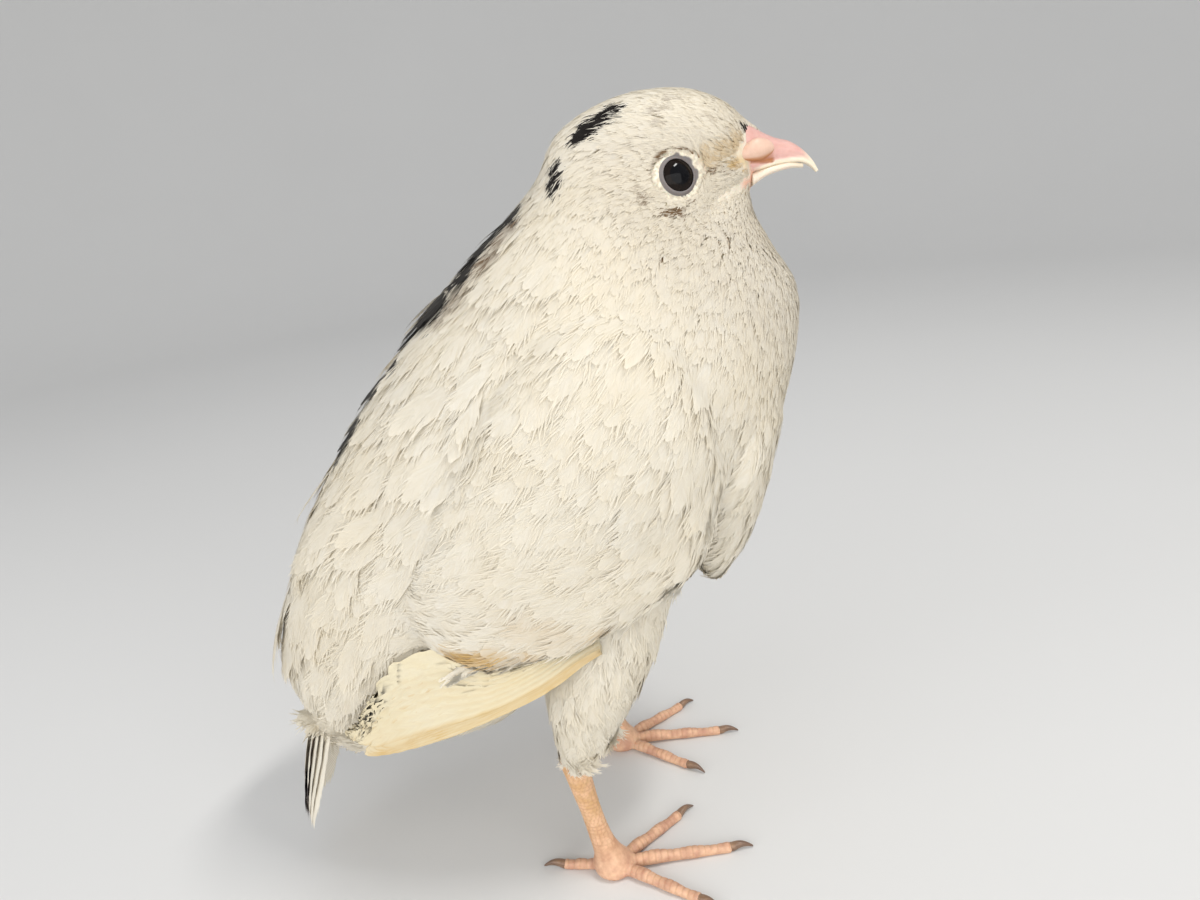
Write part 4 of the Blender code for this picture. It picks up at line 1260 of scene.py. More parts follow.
def make_skin(mat):
    deep = lambda s: np.interp(s, [0, 2, 8, 10, 12, 14, 17], [1.8, 2.2, 2.2, 1.4, 0.75, 0.52, 0.45])
    st = np.arange(0.15, 17.01, 0.1)
    parts = [loft(ring_body(st, -deep(st)))]
    # the skin reaches on to the bill so that no gap shows at its base
    stub = section_rings((((29.0, 135.6), (29.0, 122.9), 5.0), ((31.6, 133.4), (31.6, 122.75), 4.25), ((33.2, 132.3), (32.0, 122.9), 3.75)), 12, 36, 2.1)
    parts.append(loft(stub))
    tongue = [
        np.stack([np.full(30, x), w * np.sin(np.linspace(0, 2 * np.pi, 30, endpoint=False)), z + 0.9 * np.cos(np.linspace(0, 2 * np.pi, 30, endpoint=False))], -1)
        for x, z, w in ((29.5, 133.9, 3.0), (31.6, 132.8, 2.8), (33.2, 131.5, 2.1), (34.4, 130.6, 1.2))
    ]
    parts.append(loft(tongue))
    for side, _ in SIDES_OF:
        inner, outer = wing_sheets(WING, side, 24, 40, WING_THICK, 0.9, 1.25, 0.07, 0.93, 0.06, 0.93)
        inner[..., 1] -= side * 2.2 * np.linspace(1, 0.1, 24)[None, :]
        parts.append(grid_slab(inner, outer))
        inner, outer = lobe_sheets(side, sink=2.3, lower=3.0)
        keep = outer[:18], inner[:18]
        parts.append(grid_slab(keep[1], keep[0]))
        parts.append(thigh_parts(side, lambda q: -1.7 * (1 - q / 5.0) - 0.35))
    v, f = voxel(parts, 0.95)
    v = pinch(v)
    s = Surface(v, f)
    s.v = relax(s.v, s.e, 5, 0.6)
    s.v = s.v - vertex_normals(s.v, s.q) * (1.25 * fold_depth(s.v))[:, None]
    base = raw_object("skin_base", s.v, s.faces)
    for side, _ in SIDES_OF:
        lv, lf, _g = leg_solid(side)
        leg = raw_object("leg", lv, lf)
        outward(leg)
        boolean(base, leg, "UNION")
        drop(leg)
        lid = raw_object("lid", *lid_solid(side))
        outward(lid)
        boolean(base, lid, "UNION")
        drop(lid)
        c, n, u, w = eye_axes(side)
        socket = raw_object("socket", *ball(c, EYE_R + 0.04))
        outward(socket)
        boolean(base, socket, "DIFFERENCE")
        drop(socket)
    v, f = arrays_of(base)
    drop(base)
    return v, f


def skin_object(mat, legs):
    v, f = make_skin(mat)
    mk = marks(v, value_noise(v, 1.2, 3) * 0.6)
    bare = np.zeros((len(v), 3))
    groove = np.zeros(len(v))
    for side, _ in SIDES_OF:
        dx = 0.0 if side < 0 else LEFT_FORWARD
        mine = (v[:, 1] * side > 5) & (v[:, 2] < 31.0)
        bare[:, 0] = np.where(mine, smooth(29.5, 27.5, v[:, 2]), bare[:, 0])
        c, n, u, w = eye_axes(side)
        p = v - c
        h = p @ n
        r = np.linalg.norm(p - h[:, None] * n, axis=1)
        on = (h > 0.9) & (r < 5.0)
        lid = np.where(on, 0.5 * smooth(4.45, 4.1, r) + 0.5 * smooth(3.40, 3.22, r), 0)
        bare[:, 1] = np.maximum(bare[:, 1], lid)
        d, _t = segment_distance(v, (31.9, side * 4.2, 124.0), (30.2, side * 5.3, 123.7))
        bare[:, 2] = np.maximum(bare[:, 2], smooth(1.1, 0.5, d))
    bare[:, 2] = np.maximum(bare[:, 2], smooth(31.0, 31.5, v[:, 0]) * (v[:, 2] > 121.5) * smooth(133.0, 131.6, v[:, 2]))
    for lv, gv in legs:
        tree_pts = lv
        from mathutils.kdtree import KDTree

        kd = KDTree(len(tree_pts))
        for i, p in enumerate(tree_pts.tolist()):
            kd.insert(p, i)
        kd.balance()
        for i in np.nonzero(v[:, 2] < 29)[0]:
            _, j, dd = kd.find(v[i].tolist())
            if dd < 0.3:
                groove[i] = gv[j]
    ob = mesh_object("skin", v, f, None, mat, attrs={"mark": mk, "bare": bare, "groove": groove})
    return ob


# ---------------------------------------------------------------- coat
def vane_topology(rows, cols):
    return np.array([(r * cols + c, (r + 1) * cols + c, (r + 1) * cols + c + 1, r * cols + c + 1) for r in range(rows - 1) for c in range(cols - 1)])


def leaf(t, peak=0.5):
    a = 0.34 + 0.66 * np.sin(np.pi / 2 * np.clip(t / peak, 0, 1)) ** 1.1
    b = np.maximum(1 - (np.clip(t - peak, 0, 1) / (1 - peak + 0.02)) ** 1.9, 0.0) ** 0.75
    return a * np.maximum(b, 0.10)


def trace(g, root, idx, length, yaw, rows, steer=0.5):
    """Lines that follow the lie of the coat from each root: points, normals and directions per row."""
    n = len(root)
    P = np.empty((rows, n, 3))
    N = np.empty((rows, n, 3))
    T = np.empty((rows, n, 3))
    nor = unit(g.at(g.sn, idx))
    flow = g.at("flow", idx)
    flow = unit(flow - nor * dot(flow, nor)[:, None])
    side = np.cross(nor, flow)
    d = unit(flow * np.cos(yaw)[:, None] + side * np.sin(yaw)[:, None])
    p = root.copy()
    free = np.zeros(n, bool)
    P[0], N[0], T[0] = p, nor, d
    step = length / (rows - 1)
    for k in range(1, rows):
        q = p + d * step[:, None]
        loc, ix = g.find(q)
        nn = unit(g.at(g.sn, ix))
        off = np.linalg.norm(loc - q, axis=1)
        ends = (nn[:, 2] < -0.40) & (((np.abs(loc[:, 1]) > 10) & (loc[:, 0] > -20) & (loc[:, 2] < 33)) | ((loc[:, 0] < -55) & (loc[:, 2] < 36)))
        lost = free | ends | (dot(nn, nor) < 0.55) | (off > 0.75 * step + 0.25)
        free = lost
        newp = np.where(lost[:, None], q, loc)
        # a free tip bends slowly on, a lying one takes the surface's normal
        keep = np.where(lost[:, None], nor, nn)
        keep = unit(keep * 0.6 + nor * 0.4)
        f = g.at("flow", ix)
        f = unit(f - keep * dot(f, keep)[:, None])
        f = np.where(lost[:, None], d, f)
        s2 = np.cross(keep, f)
        want = unit(f * np.cos(yaw)[:, None] + s2 * np.sin(yaw)[:, None])
        nd = d * (1 - steer) + want * steer
        nd = unit(nd - keep * dot(nd, keep)[:, None])
        p, nor, d = newp, keep, nd
        P[k], N[k], T[k] = p, nor, d
    return P, N, T


def sample_roots(g, allowed, factor=1.0, tries=26, seed=5):
    """Points spread over the guide with the spacing that each place asks for."""
    rng = np.random.default_rng(seed)
    a, b, c, d = (g.v[g.q[:, i]] for i in range(4))
    area = 0.5 * np.linalg.norm(np.cross(b - a, c - a), axis=1) + 0.5 * np.linalg.norm(np.cross(c - a, d - a), axis=1)
    ok = allowed[g.q].mean(axis=1) > 0.5
    space = g.at("space", np.arange(len(g.q))) * factor
    weight = np.where(ok, area / space**2, 0)
    count = int(weight.sum() * tries * 0.35)
    pick = rng.choice(len(g.q), count, p=weight / weight.sum())
    u, w = rng.random(count)[:, None], rng.random(count)[:, None]
    q = g.q[pick]
    pts = g.v[q[:, 0]] * (1 - u) * (1 - w) + g.v[q[:, 1]] * u * (1 - w) + g.v[q[:, 2]] * u * w + g.v[q[:, 3]] * (1 - u) * w
    sp = space[pick]
    cell = 1.0
    grid, keep = {}, []
    P = pts.tolist()
    R = sp.tolist()
    for i in range(count):
        x, y, z = P[i]
        r = R[i]
        m = int(r / cell) + 1
        cx, cy, cz = int(x // cell), int(y // cell), int(z // cell)
        r2 = r * r
        good = True
        for ax in range(cx - m, cx + m + 1):
            for ay in range(cy - m, cy + m + 1):
                for az in range(cz - m, cz + m + 1):
                    for j in grid.get((ax, ay, az), ()):
                        o = P[j]
                        if (o[0] - x) ** 2 + (o[1] - y) ** 2 + (o[2] - z) ** 2 < r2:
                            good = False
                            break
                    if not good:
                        break
                if not good:
                    break
            if not good:
                break
        if good:
            grid.setdefault((cx, cy, cz), []).append(i)
            keep.append(i)
    keep = np.array(keep)
    return pts[keep], pick[keep]


def vane_mesh(name, mat, g, root, idx, length, width, depth, lift, yaw, roll, rnd, uv_root, rng, rows, cols, count, reach, slim, wild, black=None, steer=0.5):
    """One object of many feathers, each a bent web with its barbs parting into fine pointed strands over and past it."""
    n = len(root)
    P, N, T = trace(g, root, idx, length, yaw, rows, steer)
    B = unit(np.cross(N, T))
    # the guide's bend across the vane, from its middle
    mid = rows // 2
    h = width * 0.5
    l1, i1 = g.find(P[mid] + B[mid] * h[:, None])
    l2, i2 = g.find(P[mid] - B[mid] * h[:, None])
    n1, n2 = unit(g.at(g.sn, i1)), unit(g.at(g.sn, i2))
    bend = np.clip(dot(n1 - n2, B[mid]) / (2 * h), -0.03, np.interp(width, [1.2, 3.0], [0.40, 0.11]))
    each = np.arange(n)[:, None]

    def place(tt, off, up):
        """Points on the webs at shares tt of their length and off mm beside the shaft, with the frame there."""
        k = np.clip(tt, 0, 1) * (rows - 1)
        i = np.minimum(k.astype(int), rows - 2)
        f = (k - i)[..., None]
        at = P[i, each] * (1 - f) + P[i + 1, each] * f
        nn = unit(N[i, each] * (1 - f) + N[i + 1, each] * f)
        td = unit(T[i, each] * (1 - f) + T[i + 1, each] * f)
        bb = np.cross(nn, td)
        z = -depth[:, None] + (depth + lift)[:, None] * np.clip(tt, 0, 1) ** 0.5
        z = z - 0.5 * bend[:, None] * off**2 - 0.03 * off**2 / width[:, None] + roll[:, None] * off + up
        past = np.maximum(tt - 1, 0) * length[:, None]
        return at + bb * off[..., None] + nn * z[..., None] + td * past[..., None], nn, bb, td

    t = np.linspace(0, 1, rows)
    u = np.linspace(-1, 1, cols)
    off = ((leaf(t)[:, None] * u[None, :]).ravel()[None, :]) * (width * 0.46)[:, None]
    tt = np.repeat(t, cols)[None, :] + 0.20 * np.abs(off) / length[:, None]
    V, nn, bb, td = place(tt, off, np.zeros_like(off))
    web_n = nn + bb * (np.tile(u, rows)[None, :, None] * 0.10)
    # strands
    m = count
    edge = rng.random((n, m)) < 0.55
    t0 = np.where(edge, 0.30 + 0.66 * rng.random((n, m)) ** 0.8, 0.18 + 0.62 * rng.random((n, m)))
    spread = np.where(edge, np.sign(rng.random((n, m)) - 0.5) * (0.72 + 0.24 * rng.random((n, m))), 1.7 * rng.random((n, m)) - 0.85)
    o0 = spread * leaf(np.clip(t0, 0, 0.97)) * (width * 0.46)[:, None]
    run = (reach * width)[:, None] * (0.55 + 0.75 * rng.random((n, m))) * np.where(t0 > 0.8, 0.8, 1.0)
    fan = 0.34 * spread * (1 - 0.45 * t0) + rng.normal(0, wild, (n, m))
    dt = run / length[:, None]
    do = run * fan
    half = 0.5 * slim * (0.7 + 0.6 * rng.random((n, m)))
    hop = (0.02 + 0.05 * rng.random((n, m))) * run * 0.35
    fall = rng.normal(-0.02, 0.03 + 0.12 * wild, (n, m)) * run
    sway = rng.normal(0, 0.05, (n, m)) * run
    parts, nors, acr, alo = [V], [web_n], [off], [tt * length[:, None]]
    twist = rng.normal(0, 0.08, (n, m))[..., None]
    for a, wd, up, sw in ((0.0, 1.0, 0.01 + hop * 0, 0.0), (0.55, 0.85, hop, 1.0), (1.0, 0.0, fall, 0.0)):
        for sgn in (-1, 1) if wd else (0,):
            o = o0 + do * a + sway * sw + sgn * half * wd
            q, nn, bb, td = place(t0 + dt * a, o, up)
            parts.append(q)
            nors.append(nn + bb * (0.22 * sgn + twist) + td * 0.04 * a)
            acr.append(o)
            alo.append((t0 + dt * a) * length[:, None])
    nb = rows * cols
    per = nb + 5 * m
    verts = np.concatenate(parts, axis=1).reshape(-1, 3)
    nor = unit(np.concatenate(nors, axis=1).reshape(-1, 3))
    if "wing" in name:
        out = np.sign(root[:, 1].mean())
        nor[:, 1] += out * np.maximum(0.0, 0.40 - nor[:, 1] * out)
        nor = unit(nor)
    quads = vane_topology(rows, cols)
    k = np.arange(m)
    sq = np.stack([nb + k, nb + 2 * m + k, nb + 3 * m + k, nb + m + k], -1)
    st = np.stack([nb + 2 * m + k, nb + 4 * m + k, nb + 3 * m + k], -1)
    base = (np.arange(n) * per)[:, None, None]
    q = (np.vstack([quads, sq])[None] + base).reshape(-1, 4)
    tri = (st[None] + base).reshape(-1, 3)
    # each strand has a shade of its own near its feather's
    shade = np.concatenate([np.repeat(rnd[:, None], nb, 1)] + [rnd[:, None] + 0.03 * twist[..., 0]] * 5, 1)
    vane = np.stack([np.concatenate(acr, 1).ravel(), np.concatenate(alo, 1).ravel(), shade.ravel()], -1)
    w = np.concatenate(acr, 1) / width[:, None]
    ta = np.concatenate(alo, 1) / length[:, None]
    uv = np.repeat(uv_root, per, axis=0) + np.stack([np.clip(w, -0.5, 0.5).ravel() * 0.0026, (np.clip(ta, 0, 1).ravel() - 0.5) * 0.0028], -1)
    # markings: part from where a strand lies, part from where its feather ends
    wob = value_noise(P[-2], 1.0, 9)[:, None] * 0.7 + rng.normal(0, 0.35, (n, 1))
    wob = np.concatenate([np.repeat(wob, nb, 1)] + [wob + rng.normal(0, 0.45, (n, m))] * 5, 1).ravel()
    mk = marks(0.45 * verts + 0.55 * np.repeat(P[-2], per, axis=0), wob)
    if black is not None:
        mk[:, 0] = np.maximum(mk[:, 0], np.repeat(black, per))
    return mesh_object(name, verts, q, tri, mat, attrs={"vane": vane, "mark": mk, "lie": nor}, uv=uv, normals=nor)


def uv_of(P, s, turn, thigh, side):
    """A place on the unwrap of the skin: round the body by its turn, along it by its station; legs beside it."""
    u = 0.02 + 0.70 * ((turn + 180) / 360)
    v = 0.02 + 0.96 * s / 17.0
    a = np.arctan2(P[:, 1] - side * 19, P[:, 0] + 6) / (2 * np.pi) + 0.5
    tu = 0.75 + 0.11 * a + np.where(side > 0, 0.125, 0)
    tv = 0.02 + 0.9 * np.clip((P[:, 2] - 24) / 40, 0, 1)
    return np.stack([np.where(thigh > 0.5, tu, u), np.where(thigh > 0.5, tv, v)], -1)


STYLE = {
    # rows and columns of the web, strands, their reach in widths, their width in mm, how far they stray
    "coat_face": (5, 3, 7, 1.5, 0.13, 0.10),
    "coat_head": (6, 3, 12, 1.3, 0.17, 0.09),
    "coat_neck": (7, 3, 20, 1.05, 0.22, 0.08),
    "coat_thigh_right": (6, 3, 24, 1.35, 0.20, 0.13),
    "coat_thigh_left": (6, 3, 24, 1.35, 0.20, 0.13),
    "coat_back": (7, 5, 30, 0.85, 0.26, 0.10),
    "coat_rump": (7, 5, 32, 0.95, 0.25, 0.14),
    "coat_belly": (7, 5, 30, 0.90, 0.25, 0.12),
    "body": (7, 5, 28, 0.80, 0.26, 0.07),
}


def make_coat(g, mat):
    v = g.v
    allowed = np.ones(len(v))
    # no feathers on the eye, under the lids, on the nasal flap or inside the bill's base
    for side, _ in SIDES_OF:
        c, n, u, w = eye_axes(side)
        p = v - c
        h = p @ n
        r = np.linalg.norm(p - h[:, None] * n, axis=1)
        allowed[(h > 0) & (r < 4.0)] = 0
        d = np.linalg.norm((v - np.array([FLAP_AT[0] - 0.6, side * (FLAP_AT[1] + 1.0), FLAP_AT[2]])) / np.array([3.9, 3.0, 2.2]), axis=1)
        allowed[d < 1.0] = 0
    # the end face under the bill, and the soles of the thighs
    inside = (v[:, 0] > 31.35) & (v[:, 2] < 131.0) & (v[:, 2] > 122.3)
    allowed[inside] = 0
    allowed[(g.fields["thigh"] > 0.5) & ((v[:, 2] < 27.6) | (g.n[:, 2] < -0.6) & (v[:, 2] < 32))] = 0
    factor = 1.0
    pts, idx = sample_roots(g, allowed, factor)
    rng = np.random.default_rng(3)
    n = len(pts)
    L = g.at("length", idx)
    W = g.at("width", idx)
    dist = g.at("dist", idx)
    thigh = np.round(g.at("thigh", idx))
    wing = np.round(g.at("wing", idx))
    lobe = np.round(g.at("lobe", idx))
    s, turn = station(pts)
    uv = uv_of(pts, s, turn, thigh, np.sign(pts[:, 1]))
    L = L * (1 + 0.12 * rng.standard_normal(n).clip(-2, 2))
    W = W * (1 + 0.12 * rng.standard_normal(n).clip(-2, 2)) * 1
    depth = np.interp(L, [1.6, 3.0, 5.0, 9.0, 15.0], [0.28, 0.42, 0.62, 0.95, 1.3])
    lift = np.interp(L, [1.6, 5.0, 9.0, 15.0], [0.04, 0.08, 0.12, 0.16]) * (0.7 + 0.6 * rng.random(n))
    # the hind parts are looser, in wisps that lean together
    loose = smooth(10.5, 6.0, s) * (1 - 0.55 * wing) * (dist > 40) + 0.25 * wing
    loose = np.maximum(loose, 0.9 * lobe * 0.3)
    wisp = value_noise(pts, 3.4, 6)
    shag = loose * smooth(150, 100, np.abs(turn)) * (wing == 0)
    lift += loose * np.maximum(wisp, -0.2) * 0.75 + shag * np.maximum(wisp - 0.1, 0) * 1.6
    tuft = np.exp(-(np.linalg.norm((pts - np.array([-64.0, -3.0, 61.0])) / np.array([6.0, 9.0, 5.5]), axis=1) ** 2)) * (rng.random(n) < 0.6)
    lift += 3.2 * tuft
    L = L * (1 + 0.35 * tuft)
    ruffled = rng.random(n) < 0.02 + 0.07 * loose + 0.10 * shag
    lift += ruffled * np.interp(L, [1.6, 5.0, 15.0], [0.03, 0.15, 0.70]) * (0.5 + 0.5 * rng.random(n))
    yaw = rng.normal(0, 0.06, n) + 0.09 * value_noise(pts, 8.0, 4) + loose * (0.42 * value_noise(pts, 3.8, 8) + rng.normal(0, 0.08, n))
    roll = rng.normal(0, 0.02, n) + loose * 0.05 * value_noise(pts, 3.0, 12)
    rnd = rng.random(n)
    yaw += thigh * (rng.normal(0, 0.13, n) + 0.25 * value_noise(pts, 2.5, 14))
    lift += thigh * rng.random(n) * 0.35
    # and flat where the folded flight feathers cover it
    under = np.zeros(n)
    for side, _ in SIDES_OF:
        slab = grid_slab(*wing_sheets(FLIGHT, side, 14, 30, 1.4, 0.6))
        tree = BVHTree.FromPolygons(slab[0].tolist(), slab[1])
        for i in np.nonzero((pts[:, 1] * side > 4) & (pts[:, 2] < 62) & (wing == 0) & (thigh == 0))[0]:
            under[i] = tree.find_nearest(pts[i].tolist())[3] < 3.0
    lift = np.where(under > 0, -0.55, lift)
    yaw = np.where(under > 0, 0.3 * yaw, yaw)
    # a feather passes the edge of what it lies on only so far
    _P, N9, _T = trace(g, pts, idx, L, yaw, 10)
    off9 = np.linalg.norm(np.diff(_P, axis=0), axis=2)
    lie = np.ones(n)
    for r in range(1, 10):
        loc, _ix = g.find(_P[r])
        gone = np.linalg.norm(loc - _P[r], axis=1) > 0.25
        lie = np.where(gone & (lie == 1.0), (r - 0.5) / 9, lie)
    over = 0.9 + 1.6 * (lobe > 0) + 2.6 * (thigh > 0) + 0.8 * (s < 2.0)
    over = over + 1.2 * shag + 3.5 * tuft
    near_tail = smooth(12, 3, np.linalg.norm(pts - np.array([-62.5, 0.0, 32.0]), axis=1))
    over = over + 7.0 * near_tail
    L = np.where(lie < 1, np.minimum(L, lie * L + over), L)
    groups = {}
    face = (dist < 15) & (thigh == 0)
    head = ~face & (dist < 27) & (thigh == 0) & (wing == 0)
    neck = ~face & ~head & (dist < 44) & (thigh == 0) & (wing == 0)
    left = pts[:, 1] > 0
    back = np.abs(turn) < 55
    belly = s < 4.2
    rest = ~(face | head | neck) & (thigh == 0) & (wing == 0)
    groups["coat_face"] = face
    groups["coat_head"] = head
    groups["coat_neck"] = neck
    groups["coat_back"] = rest & back & (s >= 2.2)
    groups["coat_rump"] = rest & (s < 2.2)
    groups["coat_breast"] = rest & ~back & (s >= 5.6)
    groups["coat_belly"] = rest & ~back & (s >= 2.2) & (s < 5.6)
    groups["coat_wing_right"] = (wing > 0) & (thigh == 0) & ~left & ~(face | head | neck)
    groups["coat_wing_left"] = (wing > 0) & (thigh == 0) & left & ~(face | head | neck)
    groups["coat_thigh_right"] = (thigh > 0) & ~left
    groups["coat_thigh_left"] = (thigh > 0) & left
    made = []
    for name, m in groups.items():
        k = np.nonzero(m)[0]
        if not len(k):
            continue
        rows, cols, count, reach, slim, wild = STYLE.get(name, STYLE["body"])
        each = (rows - 1) * (cols - 1) * 2 + count * 3
        chunks = int(math.ceil(len(k) * each / 185000))
        for c in range(chunks):
            kk = k[c::chunks]
            label = name if chunks == 1 else f"{name}_{c + 1}"
            ob = vane_mesh(label, mat, g, pts[kk], idx[kk], L[kk], W[kk], depth[kk], lift[kk], yaw[kk], roll[kk], rnd[kk], uv[kk], rng, rows, cols, count, reach, slim, wild)
            made.append(ob)
    print("vanes", n, {o.name: len(o.data.polygons) for o in made})
    return made


# ---------------------------------------------------------------- flight and tail feathers
def quill(points, normals, width, rows, cols, lift, rng, profile, uneven=0.0, shaft=0.22):
    """One long feather along a line: a bent web with a raised shaft. Returns points, quads and the vane numbers."""
    t = np.linspace(0, 1, rows)
    k = np.linspace(0, len(points) - 1, rows)
    P = catmull(points, k)
    N = unit(catmull(normals, k))
    T = unit(np.gradient(P, axis=0))
    B = unit(np.cross(N, T))
    u = np.linspace(-1, 1, cols)
    w = width * 0.5 * profile(t)
    off = w[:, None] * (u[None, :] + uneven * (1 - u[None, :] ** 2))
    camber = 0.10 * width * (1 - u**2)[None, :] * np.sin(np.pi * np.clip(t * 0.8 + 0.2, 0, 1))[:, None]
    ridge = shaft * np.exp(-((u / 0.10) ** 2))[None, :] * (1 - 0.75 * t)[:, None]
    split = 0.05 * width * value_noise(np.stack([u[None, :] * np.ones((rows, 1)) * 3, t[:, None] * 14 + np.zeros((1, cols)), np.full((rows, cols), rng.random() * 90)], -1), 1.0, 1)
    z = lift + camber + ridge + split * np.abs(u)[None, :] * 0.5
    sweep = np.abs(off) * 0.35
    V = P[:, None] + B[:, None] * off[..., None] + N[:, None] * z[..., None] + T[:, None] * sweep[..., None]
    length = np.concatenate([[0], np.cumsum(np.linalg.norm(np.diff(P, axis=0), axis=1))])
    quads = [(r * cols + c, (r + 1) * cols + c, (r + 1) * cols + c + 1, r * cols + c + 1) for r in range(rows - 1) for c in range(cols - 1)]
    vane = np.stack([off, length[:, None] + sweep, np.full_like(off, rng.random())], -1)
    return V.reshape(-1, 3), np.array(quads), vane.reshape(-1, 3), np.broadcast_to(t[:, None], (rows, cols)).ravel(), np.broadcast_to(u[None], (rows, cols)).ravel()


def edge_barbs(V, vane, rows, cols, teeth, size, rng, start=0.15):
    """Fine barb ends along a long feather's edges."""
    G = V.reshape(rows, cols, 3)
    A = vane.reshape(rows, cols, 3)
    r0 = int(rows * start)
    path = [(r, 0) for r in range(r0, rows)] + [(rows - 1, c) for c in range(1, cols - 1)] + [(r, cols - 1) for r in range(rows - 1, r0 - 1, -1)]
    path = np.array(path)
    pos = np.linspace(0, len(path) - 1, teeth + 1)
    i0 = np.minimum(pos.astype(int), len(path) - 2)
    fr = (pos - i0)[:, None]
    E, EA = G[path[:, 0], path[:, 1]], A[path[:, 0], path[:, 1]]
    base = E[i0] * (1 - fr) + E[i0 + 1] * fr
    ba = EA[i0] * (1 - fr) + EA[i0 + 1] * fr
    mid = 0.5 * (base[1:] + base[:-1])
    ma = 0.5 * (ba[1:] + ba[:-1])
    pr = path[np.minimum(np.round(0.5 * (pos[1:] + pos[:-1])).astype(int), len(path) - 1)]
    centre = cols // 2
    T = unit(np.gradient(G[:, centre], axis=0))[pr[:, 0]]
    O = unit(E[np.minimum(np.round(0.5 * (pos[1:] + pos[:-1])).astype(int), len(path) - 1)] - G[pr[:, 0], centre] + 1e-6)
    apex = mid + unit(T + O * 0.55) * (size * (0.3 + rng.random(teeth)))[:, None]
    v = np.vstack([base, apex])
    tri = np.stack([np.arange(teeth) + 1, np.arange(teeth), teeth + 1 + np.arange(teeth)], -1)
    return v, tri, np.vstack([ba, ma])


def long_round(t):
    return (0.45 + 0.55 * smooth(0, 0.25, t)) * np.sqrt(np.maximum(1 - (np.clip(t - 0.72, 0, 1) / 0.285) ** 2.4, 0.004))


